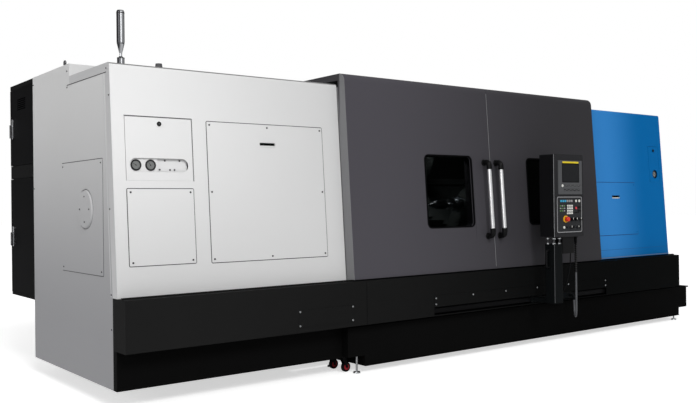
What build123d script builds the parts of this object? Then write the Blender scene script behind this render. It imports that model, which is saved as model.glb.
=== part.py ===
"""A slant-bed turning lathe with its covers, sliding doors, pendant, coolant tank and cabinet."""

import os
from math import cos, pi, radians, sin, tan

from build123d import *

os.makedirs("parts", exist_ok=True)

# Driving sizes in millimetres. Distances along the machine (x) are taken from the outside of the left
# side cover, distances to the back (y) from the front of the left skirt, and heights (z) from the floor.

# Covers
blue_cover_width = 1310
cover_rear = 1610
roof_step = 800
front_roof = 2190
rear_roof = 2280
cover_foot = -18
cover_lean = 3.8
sheet = 4
cover_bend = 24
cover_edge = 73
side_sheet_top = 2137
cover_base = 120
grey_cover_width = 1790
end_seam = 4

# Lower band with the pendant's slot
band_front = -140
band_top = 700
band_bottom = 370
band_back = 0
slot_left = 2580
slot_right = 4850
slot_bottom = 380
slot_top = 443
strip_top = 535
strip_proud = 3
track_height = 10
track_width = 16
plate_left = 1275
plate_right = 1764
plate_bottom = 410
plate_top = 530

# Doors
left_door_width = 1550
right_door_width = 1480
door_seam = grey_cover_width + left_door_width
doors_right = door_seam + right_door_width
machine_length = doors_right + blue_cover_width
door_gap = 3
door_standoff = 98
door_depth = 82
door_top = 2265
door_roof_depth = 50
door_bend = 62
door_sheet = 5
running_gap = 0.3
window_width = 525
window_bottom = 1080
window_top = 1660
window_corner = 35
left_window_inset = 240
right_window_inset = 470
left_window_left = door_seam - left_window_inset - window_width
right_window_left = door_seam + right_window_inset
window_frame = 34
pane_thickness = 12
pane_setback = 16

# Door handles
handle_bottom = 990
handle_top = 1614
handle_tube = 34
handle_reach = 78
handle_elbow = 44
left_handle_inset = 84
right_handle_inset = 62
left_handle_x = door_seam - left_handle_inset
right_handle_x = door_seam + right_handle_inset
handle_bend = 30
elbow_length = 46
rosette = 4

# Spindle line and slant bed
axis_y = 500
axis_z = 1260
slant = 45
way_drop = 420
bed_left = 90
bed_end_gap = 130
bed_right = machine_length - bed_end_gap
bed_front = 385
bed_rear = 1505
bed_bottom = 140
bed_shoulder = 560
bed_low_edge = -400
bed_high_edge = 800
way_width = 66
way_height = 36
way_lip = 12
tailstock_ways = (-320, -15)
carriage_ways = (150, 720)
headstock_left = 330
headstock_end_gap = 170
headstock_right = grey_cover_width - headstock_end_gap
headstock_radius = 270
headstock_foot = 700
spindle_radius = 110
spindle_bore = 52
spindle_tail = 150
nose_length = 240
spindle_nose = headstock_right + nose_length
nose_radius = 150
pulley_radius = 175
pulley_width = 110

# Chuck
chuck_radius = 200
chuck_length = 160
chuck_bore = 60
jaw_width = 60
jaw_key_width = 44
jaw_key_depth = 30
jaw_length = 95
jaw_inner = 78
jaw_step = 34
jaw_count = 3

# Carriage, cross slide and turret
carriage_left = 2800
carriage_length = 800
saddle_thickness = 84
keeper_width = 22
slide_way_width = 70
slide_way_height = 26
slide_way_inset = 230
slide_way_right_inset = 160
cross_slide_inset = 212
cross_slide_right_inset = 130
cross_slide_length = 540
cross_slide_height = 84
turret_along = 600
turret_housing_radius = 150
turret_housing_foot = 380
turret_housing_left = 3010
turret_housing_right = 3450
turret_radius = 205
turret_thickness = 130
turret_stations = 12
turret_hub = 62
holder_width = 62
holder_height = 52
holder_reach = 268
tool_width = 24

# Tailstock
tailstock_left = 3620
tailstock_right = 4250
tailstock_radius = 150
tailstock_overhang = 24
quill_radius = 65
quill_left = 3430
quill_right = 4170
quill_ring_radius = 74
quill_ring_width = 13
quill_ring_pitch = 24
centre_tip = 3120
centre_body_radius = 42
centre_neck_radius = 24

# Panels and hatches on the leaning faces
panel_thickness = 3
hatch_left = 90
hatch_right = 555
hatch_bottom = 1440
hatch_top = 1850
hatch_seam = 3
hinge_gap = 0.5
hatch_slot_left = 115
hatch_slot_right = 523
hatch_slot_height = 90
gauge_z = 1540
gauge_x = (160, 260)
gauge_radius = 36
gauge_depth = 28
gauge_setback = 9
recess_depth = 130
lock_radius = 15.5
lock_proud = 5
lock_drop = 40
air_panel_left = 90
air_panel_right = 552
air_panel_bottom = 897
air_panel_top = 1386
big_panel_gap = 118
big_panel_inset = 162
big_panel_left = air_panel_right + big_panel_gap
big_panel_right = grey_cover_width - big_panel_inset
big_panel_bottom = 892
big_panel_top = 1843
pull_width = 130
pull_height = 31
pull_depth = 22
pull_drop = 143
panel_lap = 30
blue_panel_inset = 85
blue_panel_width = 695
blue_panel_left = doors_right + blue_panel_inset
blue_panel_right = blue_panel_left + blue_panel_width
blue_panel_bottom = 936
blue_panel_top = 1461
blue_pull_x = blue_panel_left + 354
blue_pull_drop = 145
valve_inset = 64
valve_width = 180
valve_right = machine_length - valve_inset
valve_left = valve_right - valve_width
valve_bottom = 1474
valve_top = 1846
valve_hole_radius = 45
valve_gauge_x = valve_left + 99
valve_gauge_z = 1556
valve_lock_radius = 10

# Left side panel and spindle cover
side_panel_front = 200
side_panel_rear = 960
side_panel_bottom = 830
side_panel_top = 1584
spindle_cover_radius = 130
spindle_cover_proud = 12

# Pendant
pendant_left = 3780
pendant_width = 410
pendant_front = -380
pendant_depth = 154
pendant_bottom = 965
pendant_top = 1690
pendant_corner = 12
post_width = 115
post_depth = 110
post_bottom = 394
post_top = 907
post_corner = 14
arm_inset = 15
arm_bottom = 394
arm_height = 36
shoe_length = 135
rail_head_height = 38
rail_head_depth = 18
rail_head_front = -118
rail_head_bottom = 393
rail_web = 12
rail_web_depth = 24
rail_plate = 5
shoe_wall = 9
rail_overrun = 70
stud_radius = 8
stud_inset = 22
display_left = 3834
display_right = 4161
display_bottom = 1338
display_top = 1634
display_proud = 8
screen_left = 3888
screen_right = 4115
screen_bottom = 1446
screen_top = 1606
screen_sink = 3
console_left = 3812
console_right = 4161
console_bottom = 1003
console_top = 1320
console_proud = 4
console_corner = 18
e_stop_x = 3928
e_stop_z = 1122
e_stop_base_radius = 30
e_stop_base_proud = 9
e_stop_radius = 20
e_stop_reach = 30
e_stop_travel = 5
e_stop_stem_radius = 12
button_radius = 11
button_proud = 7
button_travel = 3
button_collar = 2.5
start_button_x = 4072
start_button_z = 1280
stop_button_x = 4072
stop_button_z = 1217
knob_radius = 15
knob_proud = 20
knob_z = 1120
feed_knob_x = 4012
spindle_knob_x = 4066
third_knob_x = 4123
lower_knob_z = 1050
lower_knob_x = (3991, 4088)
lower_button_x = 3903
spare_button_x = 4118
key_size = 17
key_proud = 3
keypad_left = 3955
keypad_top = 1238
keypad_pitch = 22
keypad_columns = 4
keypad_rows = 3
key_row_z = 1280
key_row_left = 3870
key_row_count = 6
key_row_pitch = 29
grab_reach = 42
grab_tube = 16
side_grab_bottom = 1176
side_grab_top = 1305
post_grab_bottom = 700
post_grab_top = 860
junction_left = 3910
junction_right = 4070
junction_front = -365
junction_rear = -255
junction_bottom = 820

# Pendant cords
conduit_diameter = 18
cable_diameter = 10
gland_length = 40
inlet_x = 4312
inlet_y = -172
inlet_drop = 40
inlet_bend = 25
carrier_left = 4040
carrier_right = 4345

# Coolant tank
tank_front = -70
tank_rear = 330
tank_left = 1760
tank_overhang = 250
tank_step = 160
tank_end_step = 150
tank_rim = 40
tank_right = machine_length + tank_overhang
tank_step_left = tank_left + tank_step
tank_step_right = tank_right - tank_end_step
tank_rim_right = tank_right + tank_rim
tank_bottom = 50
tank_shelf = 130
tank_top = 350
tank_flange = 8
rim_height = 12
foot_radius = 28
foot_height = 12
foot_stud_radius = 8
tank_foot_inset = 35
tank_foot_x = (tank_left + 108, tank_step_right - 45)
bed_foot_radius = 60
bed_foot_height = 22
bed_foot_stud = 18
bed_foot_count = 4
bed_foot_end_inset = 220
bed_foot_front_inset = 330
bed_foot_rear_inset = 120
caster_x = tank_left + 40
caster_y = (60, 215)
caster_trail = 35
wheel_radius = 37.5
wheel_width = 26
axle_radius = 6
fork_width = 42
fork_plate = 4
fork_top_plate = 5

# Electrical cabinet
cabinet_rear = 2210
cabinet_bottom = 560
cabinet_length = 1220
cabinet_door_depth = 22
cabinet_frame = 30
cabinet_seam = 2
upper_door_bottom = 1620
upper_door_top = 2240
lower_door_bottom = 580
lower_door_top = 1510
backplate_gap = 60
backplate_thickness = 4
lever_y = 2127
lever_proud = 30
lever_width = 28
lever_length = 165
lever_upper_z = 1920
lever_lower_z = 1042
louvre_count = 6
louvre_pitch = 16
louvre_width = 220

# Roof fittings
tower_x = 159
tower_y = 270
tower_base_radius = 24
tower_base_height = 67
tower_neck_radius = 9
tower_neck_top = 94
tower_shoulder = 156
tower_radius = 26
tower_lens_bottom = 166
tower_crown = 10
tower_height = 380
cap_x = 428
cap_radius = 29
cap_height = 52
eye_bolt_y = 1020
eye_bolt_x = 48
eye_ring_radius = 15
eye_wire_radius = 6.5

# The machine's box is centred on the part's origin, on the floor
e_stop_front = pendant_front - console_proud - e_stop_base_proud - e_stop_reach
left = -(tank_rim_right - lever_proud) / 2
front = -(cabinet_rear + e_stop_front) / 2

lean_tan = tan(radians(cover_lean))
lean_cos = cos(radians(cover_lean))
lean_sin = sin(radians(cover_lean))
slant_cos = cos(radians(slant))
slant_sin = sin(radians(slant))


def block(x, y, z, mode=Mode.ADD):
    """A rectangular block between pairs of distances along, to the back and up."""
    with Locations((left + (x[0] + x[1]) / 2, front + (y[0] + y[1]) / 2, (z[0] + z[1]) / 2)):
        Box(x[1] - x[0], y[1] - y[0], z[1] - z[0], mode=mode)


def section(x):
    """Plane across the machine at distance x, with local axes to the back and up."""
    return Plane(origin=(left + x, front, 0), x_dir=(0, 1, 0), z_dir=(1, 0, 0))


def slanted(x):
    """Plane across the machine centred on the spindle line, with local axes along and off the slant."""
    origin = (left + x, front + axis_y, axis_z)
    return Plane(origin=origin, x_dir=(0, slant_cos, slant_sin), z_dir=(1, 0, 0))


def level(z):
    """Horizontal plane at height z, with local axes along the machine and to the back."""
    return Plane(origin=(left, front, z))


def elevation(y):
    """Upright plane at distance y that faces the front, with local axes along the machine and up."""
    return Plane(origin=(left, front + y, 0), x_dir=(1, 0, 0), z_dir=(0, -1, 0))


def leaning(proud):
    """Plane of the leaning covers, proud of them, with local axes along the machine and up the slope."""
    origin = (left, front + face_y(0), 0)
    face = Plane(origin=origin, x_dir=(1, 0, 0), z_dir=(0, -lean_cos, lean_sin))
    return face.offset(proud)


def leaning_side(x):
    """Plane across the doors at distance x, with local axes out of the doors' face and up its slope."""
    face = leaning(door_standoff)
    return Plane(origin=face.from_local_coords((x, 0, 0)), x_dir=face.z_dir, z_dir=(-1, 0, 0))


def face_y(z, proud=0):
    """Distance to the back of the leaning cover face at height z, or of a face proud of it."""
    return cover_foot + (z - band_top) * lean_tan - proud / lean_cos


def up(z, proud=0):
    """Distance up the slope of the leaning covers for a height z on a face proud of them."""
    return (z - proud * lean_sin) / lean_cos


def slant_point(along, above):
    """Distances to the back and up of a point given along and above the slant."""
    y = axis_y + along * slant_cos - above * slant_sin
    z = axis_z + along * slant_sin + above * slant_cos
    return (y, z)


def panel(x, z, corner=6, mode=Mode.ADD):
    """A rectangle with round corners on a leaning or upright plane, between pairs of distances."""
    with Locations(((x[0] + x[1]) / 2, (z[0] + z[1]) / 2)):
        RectangleRounded(x[1] - x[0], z[1] - z[0], corner, mode=mode)


def slope_panel(x, z, corner=6, mode=Mode.ADD, proud=0):
    """The same rectangle between heights taken up the slope of a face."""
    panel(x, (up(z[0], proud), up(z[1], proud)), corner, mode)


def folded(points, bend, thickness, side=Side.RIGHT):
    """Section of a sheet folded along points, with its thickness on one side of them."""
    with BuildSketch() as profile:
        with BuildLine():
            FilletPolyline(*points, radius=bend)
            offset(amount=thickness, side=side)
        make_face()
    return profile.sketch


def keep(part, label):
    """Names a finished piece and writes it."""
    part.label = label
    export_step(part, f"parts/{label}.step")


def way_profile(centre):
    """A box way with undercut sides, standing on the slanted face."""
    base = -way_drop
    half = way_width / 2
    foot = half - way_lip
    lip = base + way_height / 2
    top = base + way_height
    Polygon(
        (centre - foot, base - 1),
        (centre - foot, lip),
        (centre - half, lip),
        (centre - half, top),
        (centre + half, top),
        (centre + half, lip),
        (centre + foot, lip),
        (centre + foot, base - 1),
        align=None,
    )


# Bed casting
bed_outline = [
    (bed_front, bed_bottom),
    (bed_front, bed_shoulder),
    slant_point(bed_low_edge, -way_drop),
    slant_point(bed_high_edge, -way_drop),
    (bed_rear, slant_point(bed_high_edge, -way_drop)[1]),
    (bed_rear, bed_bottom),
]
with BuildPart() as bed:
    with BuildSketch(section(bed_left)):
        Polygon(*bed_outline, align=None)
    extrude(amount=bed_right - bed_left)
    with BuildSketch(slanted(grey_cover_width + sheet)):
        for centre in tailstock_ways + carriage_ways:
            way_profile(centre)
    extrude(amount=doors_right - grey_cover_width - 4 * sheet)
keep(bed.part, "bed")

# Levelling feet under the bed and under the coolant tank
bed_foot_step = (bed_right - bed_left - 2 * bed_foot_end_inset) / (bed_foot_count - 1)
with BuildPart() as levelling_feet:
    for row in (bed_front + bed_foot_front_inset, bed_rear - bed_foot_rear_inset):
        for index in range(bed_foot_count):
            spot = (bed_left + bed_foot_end_inset + index * bed_foot_step, row)
            with BuildSketch(level(0)):
                with Locations(spot):
                    Circle(bed_foot_radius)
            extrude(amount=bed_foot_height)
            with BuildSketch(level(bed_foot_height)):
                with Locations(spot):
                    Circle(bed_foot_stud)
            extrude(amount=bed_bottom - bed_foot_height)
    for foot_x in tank_foot_x:
        foot_top = tank_shelf if foot_x < tank_step_left else tank_bottom
        for foot_y in (tank_front + tank_foot_inset, tank_rear - tank_foot_inset):
            with BuildSketch(level(0)):
                with Locations((foot_x, foot_y)):
                    Circle(foot_radius)
            extrude(amount=foot_height, taper=12)
            with BuildSketch(level(foot_height)):
                with Locations((foot_x, foot_y)):
                    Circle(foot_stud_radius)
            extrude(amount=foot_top - foot_height)
keep(levelling_feet.part, "levelling_feet")

# Headstock
with BuildPart() as headstock:
    with BuildSketch(slanted(headstock_left)):
        Circle(headstock_radius)
        with Locations((0, 10 - way_drop)):
            Rectangle(headstock_foot, 20)
        make_hull()
        Circle(spindle_radius + running_gap, mode=Mode.SUBTRACT)
    extrude(amount=headstock_right - headstock_left)
keep(headstock.part, "headstock")


spindle_line = Plane(origin=(left, front + axis_y, axis_z), x_dir=(1, 0, 0), z_dir=(0, -1, 0))


def turned(points):
    """Turns a half section, given as distance along the machine and radius, about the spindle line."""
    with BuildSketch(spindle_line) as profile:
        Polygon(*points, align=None)
    revolve(profile.sketch, axis=Axis(spindle_line.origin, (1, 0, 0)))


# Spindle with its pulley and nose
with BuildPart() as spindle:
    turned([
        (spindle_tail, spindle_bore),
        (spindle_tail, pulley_radius),
        (spindle_tail + pulley_width, pulley_radius),
        (spindle_tail + pulley_width, spindle_radius),
        (headstock_right + running_gap, spindle_radius),
        (headstock_right + running_gap, nose_radius),
        (spindle_nose, nose_radius),
        (spindle_nose, spindle_bore),
    ])
keep(spindle.part, "spindle")

# Chuck with its slots
chuck_face = spindle_nose + chuck_length
chuck_centre = (left + chuck_face, front + axis_y, axis_z)


def jaw_plane(index):
    """Plane of the chuck's face whose local x runs out along one jaw."""
    turn = radians(90 + index * 360 / jaw_count)
    return Plane(origin=chuck_centre, x_dir=(0, cos(turn), sin(turn)), z_dir=(1, 0, 0))


with BuildPart() as chuck:
    turned([
        (spindle_nose, chuck_bore),
        (spindle_nose, chuck_radius),
        (chuck_face - 8, chuck_radius),
        (chuck_face, chuck_radius - 8),
        (chuck_face, chuck_bore),
    ])
    for index in range(jaw_count):
        with BuildSketch(jaw_plane(index)):
            with Locations((chuck_radius, 0)):
                Rectangle(2 * chuck_radius - chuck_bore, jaw_key_width + 2 * running_gap)
        extrude(amount=-jaw_key_depth, mode=Mode.SUBTRACT)
keep(chuck.part, "chuck")

# Jaws, each with a key in its slot and three steps
jaw_outer = chuck_radius - 14
for index in range(jaw_count):
    side = jaw_plane(index)
    jaw_mid = (jaw_inner + jaw_outer) / 2
    jaw_span = jaw_outer - jaw_inner
    with BuildPart() as jaw:
        with BuildSketch(side.offset(running_gap)):
            with Locations((jaw_mid, 0)):
                Rectangle(jaw_span, jaw_width)
        extrude(amount=jaw_length / 3)
        with BuildSketch(side.offset(jaw_length / 3)):
            with Locations((jaw_mid - jaw_step / 2, 0)):
                Rectangle(jaw_span - jaw_step, jaw_width)
        extrude(amount=jaw_length / 3)
        with BuildSketch(side.offset(jaw_length * 2 / 3)):
            with Locations((jaw_mid - jaw_step, 0)):
                Rectangle(jaw_span - 2 * jaw_step, jaw_width)
        extrude(amount=jaw_length / 3)
        with BuildSketch(side.offset(running_gap - jaw_key_depth)):
            with Locations((jaw_mid, 0)):
                Rectangle(jaw_span, jaw_key_width)
        extrude(amount=jaw_key_depth)
    keep(jaw.part, f"chuck_jaw_{index + 1}")

# Carriage saddle wrapped round the two upper ways
way_top = way_height - way_drop
saddle_low = carriage_ways[0] - way_width / 2
saddle_high = carriage_ways[1] + way_width / 2
saddle_top = way_top + running_gap + saddle_thickness
keeper_bottom = running_gap + 5 - way_drop
with BuildPart() as carriage:
    with BuildSketch(slanted(carriage_left)):
        Polygon(
            (saddle_low - running_gap - keeper_width, keeper_bottom),
            (saddle_low - running_gap, keeper_bottom),
            (saddle_low - running_gap, way_top + running_gap),
            (saddle_high + running_gap, way_top + running_gap),
            (saddle_high + running_gap, keeper_bottom),
            (saddle_high + running_gap + keeper_width, keeper_bottom),
            (saddle_high + running_gap + keeper_width, saddle_top),
            (saddle_low - running_gap - keeper_width, saddle_top),
            align=None,
        )
    extrude(amount=carriage_length)
    for way_x in (slide_way_inset, carriage_length - slide_way_right_inset - slide_way_width):
        with BuildSketch(slanted(carriage_left + way_x)):
            with Locations(((saddle_low + saddle_high) / 2, saddle_top + slide_way_height / 2)):
                Rectangle(saddle_high - saddle_low, slide_way_height)
        extrude(amount=slide_way_width)
keep(carriage.part, "carriage")

# Cross slide with the turret's housing
slide_base = saddle_top + slide_way_height + running_gap
slide_top = slide_base + cross_slide_height
with BuildPart() as cross_slide:
    with BuildSketch(slanted(carriage_left + cross_slide_inset)):
        with Locations((turret_along, slide_base + cross_slide_height / 2)):
            Rectangle(cross_slide_length, cross_slide_height)
    extrude(amount=carriage_length - cross_slide_inset - cross_slide_right_inset)
    with BuildSketch(slanted(turret_housing_left)):
        with Locations((turret_along, 0)):
            Circle(turret_housing_radius)
        with Locations((turret_along, slide_top + 10)):
            Rectangle(turret_housing_foot, 20)
        make_hull()
    extrude(amount=turret_housing_right - turret_housing_left)
keep(cross_slide.part, "cross_slide")

# Turret disc with a tool holder on every station
turret_origin_y, turret_origin_z = slant_point(turret_along, 0)
turret_left = turret_housing_left - running_gap - turret_thickness - 12


def turret_plane(x):
    """Plane across the turret's own axis at distance x."""
    origin = (left + x, front + turret_origin_y, turret_origin_z)
    return Plane(origin=origin, x_dir=(0, 1, 0), z_dir=(1, 0, 0))


with BuildPart() as turret_disc:
    with BuildSketch(turret_plane(turret_left)):
        RegularPolygon(turret_radius, turret_stations, major_radius=False)
    extrude(amount=turret_thickness)
    with BuildSketch(turret_plane(turret_left + turret_thickness)):
        Circle(turret_hub)
    extrude(amount=12)
    with BuildSketch(turret_plane(turret_left - 14)):
        Circle(turret_hub)
    extrude(amount=14)
    with BuildSketch(turret_plane(turret_left + (turret_thickness - holder_width) / 2)):
        with PolarLocations(turret_radius + holder_height / 2, turret_stations):
            Rectangle(holder_height, holder_width)
    extrude(amount=holder_width)
    with BuildSketch(turret_plane(turret_left + (turret_thickness - tool_width) / 2)):
        with PolarLocations((turret_radius + holder_reach) / 2, turret_stations, 30):
            Rectangle(holder_reach - turret_radius, tool_width)
    extrude(amount=tool_width)
keep(turret_disc.part, "turret_disc")

# Tailstock on the two lower ways
tail_low = tailstock_ways[0] - way_width / 2
tail_high = tailstock_ways[1] + way_width / 2
with BuildPart() as tailstock:
    with BuildSketch(slanted(tailstock_left)):
        Circle(tailstock_radius)
        with Locations(((tail_low + tail_high) / 2, way_top + running_gap + 35)):
            Rectangle(tail_high - tail_low + 2 * tailstock_overhang, 70)
        make_hull()
        Circle(quill_radius + running_gap, mode=Mode.SUBTRACT)
    extrude(amount=tailstock_right - tailstock_left)
    for low in (tail_low - running_gap - tailstock_overhang, tail_high + running_gap):
        with BuildSketch(slanted(tailstock_left)):
            with Locations((low + keeper_width / 2, way_top - (way_height - 6) / 2)):
                Rectangle(keeper_width, way_height + 6)
        extrude(amount=tailstock_right - tailstock_left)
keep(tailstock.part, "tailstock")

# Quill with three rings behind its nose
ring_points = []
for index in range(3):
    ring_x = quill_left + 12 + index * quill_ring_pitch
    ring_points += [
        (ring_x, quill_radius),
        (ring_x, quill_ring_radius),
        (ring_x + quill_ring_width, quill_ring_radius),
        (ring_x + quill_ring_width, quill_radius),
    ]
with BuildPart() as quill:
    turned([(quill_left, 0), (quill_left, quill_radius)] + ring_points
           + [(quill_right, quill_radius), (quill_right, 0)])
keep(quill.part, "quill")

# Live centre
with BuildPart() as live_centre:
    turned([
        (centre_tip, 0),
        (centre_tip + 75, centre_body_radius),
        (centre_tip + 210, centre_body_radius),
        (centre_tip + 225, centre_neck_radius),
        (centre_tip + 262, centre_neck_radius),
        (centre_tip + 270, quill_radius - 6),
        (quill_left - running_gap, quill_radius - 6),
        (quill_left - running_gap, 0),
    ])
keep(live_centre.part, "live_centre")

# Headstock cover: leaning front, roof and the return flange at its left end
def cover_points(roof_end):
    """Outer line of the fixed covers, from the band up the leaning front and back along the roof."""
    return [
        (face_y(band_top + running_gap), band_top + running_gap),
        (face_y(front_roof), front_roof),
        (roof_end, front_roof),
    ]


def cover_end(flange):
    """Section of a flange that follows the covers' front and roof."""
    return [
        (face_y(band_top), band_top),
        (face_y(band_top) + flange, band_top),
        (face_y(side_sheet_top) + flange, side_sheet_top),
        (roof_step, side_sheet_top),
        (roof_step, front_roof),
        (face_y(front_roof) + cover_bend / 2, front_roof),
        (face_y(front_roof - cover_bend / 2), front_roof - cover_bend / 2),
    ]


with BuildPart() as headstock_cover:
    with BuildSketch(section(0)):
        add(folded(cover_points(roof_step), cover_bend, sheet))
    extrude(amount=grey_cover_width)
    with BuildSketch(section(0)):
        Polygon(*cover_end(cover_edge), align=None)
    extrude(amount=sheet)
    # Openings behind the hatch and the screwed panels
    with BuildSketch(leaning(1)):
        slope_panel((hatch_left - hatch_seam, hatch_right + hatch_seam),
                    (hatch_bottom - hinge_gap, hatch_top + hatch_seam), 3)
        slope_panel((air_panel_left + panel_lap, air_panel_right - panel_lap),
                    (air_panel_bottom + panel_lap, air_panel_top - panel_lap))
        slope_panel((big_panel_left + panel_lap, big_panel_right - panel_lap),
                    (big_panel_bottom + panel_lap, big_panel_top - panel_lap))
    extrude(amount=-3 * sheet, mode=Mode.SUBTRACT)
    # Recess behind the hatch
    with BuildSketch(leaning(-sheet)):
        slope_panel((hatch_left - hatch_seam - sheet, hatch_right + hatch_seam + sheet),
                    (hatch_bottom - hinge_gap - sheet, hatch_top + hatch_seam + sheet), 3)
        slope_panel((hatch_left - hatch_seam, hatch_right + hatch_seam),
                    (hatch_bottom - hinge_gap, hatch_top + hatch_seam), 3, mode=Mode.SUBTRACT)
    extrude(amount=-recess_depth)
    with BuildSketch(leaning(-sheet - recess_depth)):
        slope_panel((hatch_left - hatch_seam - sheet, hatch_right + hatch_seam + sheet),
                    (hatch_bottom - hinge_gap - sheet, hatch_top + hatch_seam + sheet), 3)
    extrude(amount=-sheet)
    # Vent cap on the roof
    with BuildSketch(level(front_roof)):
        with Locations((cap_x, tower_y)):
            Circle(cap_radius)
    extrude(amount=cap_height, taper=8)
keep(headstock_cover.part, "headstock_cover")

# Hatch with the slot that shows the gauges, and its lock
def slot_x(x0, x1):
    """Middle and straight length of a round-ended slot between two distances."""
    return ((x0 + x1) / 2, x1 - x0)


with BuildPart() as gauge_hatch:
    with BuildSketch(leaning(0)):
        slope_panel((hatch_left, hatch_right), (hatch_bottom, hatch_top), 3)
        slot_middle, slot_length = slot_x(hatch_slot_left, hatch_slot_right)
        with Locations((slot_middle, up(gauge_z))):
            SlotOverall(slot_length, hatch_slot_height, mode=Mode.SUBTRACT)
    extrude(amount=-sheet)
    with BuildSketch(leaning(0)):
        with Locations(((hatch_left + hatch_right) / 2, up(hatch_top - lock_drop))):
            Circle(lock_radius)
    extrude(amount=lock_proud)
    with BuildSketch(leaning(-sheet)):
        with Locations(((hatch_left + hatch_right) / 2, up(hatch_top - lock_drop))):
            Circle(lock_radius / 2)
    extrude(amount=-4 * sheet)
keep(gauge_hatch.part, "gauge_hatch")

# Pressure gauges behind both hatches, each on a stem from the back of its recess
gauge_back = sheet + recess_depth - gauge_setback - gauge_depth
with BuildPart() as pressure_gauges:
    for spot in [(x, gauge_z) for x in gauge_x] + [(valve_gauge_x, valve_gauge_z)]:
        with BuildSketch(leaning(-gauge_setback)):
            with Locations((spot[0], up(spot[1]))):
                Circle(gauge_radius)
        extrude(amount=-gauge_depth)
        with BuildSketch(leaning(-gauge_setback)):
            with Locations((spot[0], up(spot[1]))):
                Circle(gauge_radius - 4)
        extrude(amount=-3, mode=Mode.SUBTRACT)
        with BuildSketch(leaning(-gauge_setback - gauge_depth)):
            with Locations((spot[0], up(spot[1]))):
                Circle(gauge_radius / 3)
        extrude(amount=-gauge_back)
keep(pressure_gauges.part, "pressure_gauges")


def pull_cup(x, z):
    """Recessed pull pressed into a panel: the hole is cut first, then its cup is added."""
    with BuildSketch(leaning(panel_thickness)) as mouth:
        with Locations((x, up(z))):
            RectangleRounded(pull_width, pull_height, 5)
    extrude(mouth.sketch, amount=-pull_depth, mode=Mode.SUBTRACT)
    with BuildSketch(leaning(0)) as cup:
        with Locations((x, up(z))):
            RectangleRounded(pull_width + 4, pull_height + 4, 7)
            RectangleRounded(pull_width, pull_height, 5, mode=Mode.SUBTRACT)
    extrude(cup.sketch, amount=-pull_depth)
    with BuildSketch(leaning(-pull_depth)) as floor:
        with Locations((x, up(z))):
            RectangleRounded(pull_width + 4, pull_height + 4, 7)
    extrude(floor.sketch, amount=-2)


# Screwed panels of the headstock cover
with BuildPart() as air_unit_panel:
    with BuildSketch(leaning(0)):
        slope_panel((air_panel_left, air_panel_right), (air_panel_bottom, air_panel_top))
    extrude(amount=panel_thickness)
keep(air_unit_panel.part, "air_unit_panel")

with BuildPart() as headstock_panel:
    with BuildSketch(leaning(0)):
        slope_panel((big_panel_left, big_panel_right), (big_panel_bottom, big_panel_top))
    extrude(amount=panel_thickness)
    pull_cup((big_panel_left + big_panel_right) / 2, big_panel_top - pull_drop)
keep(headstock_panel.part, "headstock_panel")

# Left side cover with the round spindle cover pressed out of it
side_edge = [(y, z) for y, z in (
    (face_y(band_top) + cover_edge, cover_base),
    (cover_rear, cover_base),
    (cover_rear, rear_roof),
    (roof_step, rear_roof),
    (roof_step, side_sheet_top),
    (face_y(side_sheet_top) + cover_edge, side_sheet_top),
    (face_y(band_top) + cover_edge, band_top),
)]
with BuildPart() as left_side_cover:
    with BuildSketch(section(0)):
        Polygon(*side_edge, align=None)
    extrude(amount=sheet)
    with BuildSketch(section(0)):
        with Locations((axis_y, axis_z)):
            Circle(spindle_cover_radius)
    extrude(amount=-spindle_cover_proud, taper=30)
keep(left_side_cover.part, "left_side_cover")

with BuildPart() as side_access_panel:
    with BuildSketch(section(0)):
        panel((side_panel_front, side_panel_rear), (side_panel_bottom, side_panel_top))
        with Locations((axis_y, axis_z)):
            Circle(spindle_cover_radius + 8, mode=Mode.SUBTRACT)
    extrude(amount=-panel_thickness)
keep(side_access_panel.part, "side_access_panel")

# Rear housing: the step, the tall roof and the rear wall
with BuildPart() as rear_housing:
    with BuildSketch(section(sheet)):
        add(folded([
            (roof_step, front_roof + running_gap),
            (roof_step, rear_roof),
            (cover_rear, rear_roof),
            (cover_rear, cover_base),
        ], 10, sheet))
    extrude(amount=machine_length - 2 * sheet)
keep(rear_housing.part, "rear_housing")

# Blue tailstock cover: leaning front, roof and the whole right end
with BuildPart() as tailstock_cover:
    with BuildSketch(section(doors_right)):
        add(folded(cover_points(roof_step), cover_bend, sheet))
    extrude(amount=machine_length - doors_right)
    with BuildSketch(section(machine_length - sheet)):
        Polygon(
            (face_y(band_top), band_top + running_gap),
            (band_back + running_gap, band_top + running_gap),
            (band_back + running_gap, tank_top + end_seam),
            (tank_rear + end_seam, tank_top + end_seam),
            (tank_rear + end_seam, cover_base),
            (cover_rear, cover_base),
            (cover_rear, rear_roof),
            (roof_step, rear_roof),
            (roof_step, front_roof),
            (face_y(front_roof) + cover_bend / 2, front_roof),
            (face_y(front_roof - cover_bend / 2), front_roof - cover_bend / 2),
            align=None,
        )
    extrude(amount=sheet)
    with BuildSketch(leaning(1)):
        slope_panel((valve_left - hatch_seam, valve_right + hatch_seam),
                    (valve_bottom - hinge_gap, valve_top + hatch_seam), 3)
        slope_panel((blue_panel_left + panel_lap, blue_panel_right - panel_lap),
                    (blue_panel_bottom + panel_lap, blue_panel_top - panel_lap))
    extrude(amount=-3 * sheet, mode=Mode.SUBTRACT)
    with BuildSketch(leaning(-sheet)):
        slope_panel((valve_left - hatch_seam - sheet, valve_right + hatch_seam + sheet),
                    (valve_bottom - hinge_gap - sheet, valve_top + hatch_seam + sheet), 3)
        slope_panel((valve_left - hatch_seam, valve_right + hatch_seam),
                    (valve_bottom - hinge_gap, valve_top + hatch_seam), 3, mode=Mode.SUBTRACT)
    extrude(amount=-recess_depth)
    with BuildSketch(leaning(-sheet - recess_depth)):
        slope_panel((valve_left - hatch_seam - sheet, valve_right + hatch_seam + sheet),
                    (valve_bottom - hinge_gap - sheet, valve_top + hatch_seam + sheet), 3)
    extrude(amount=-sheet)
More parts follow.
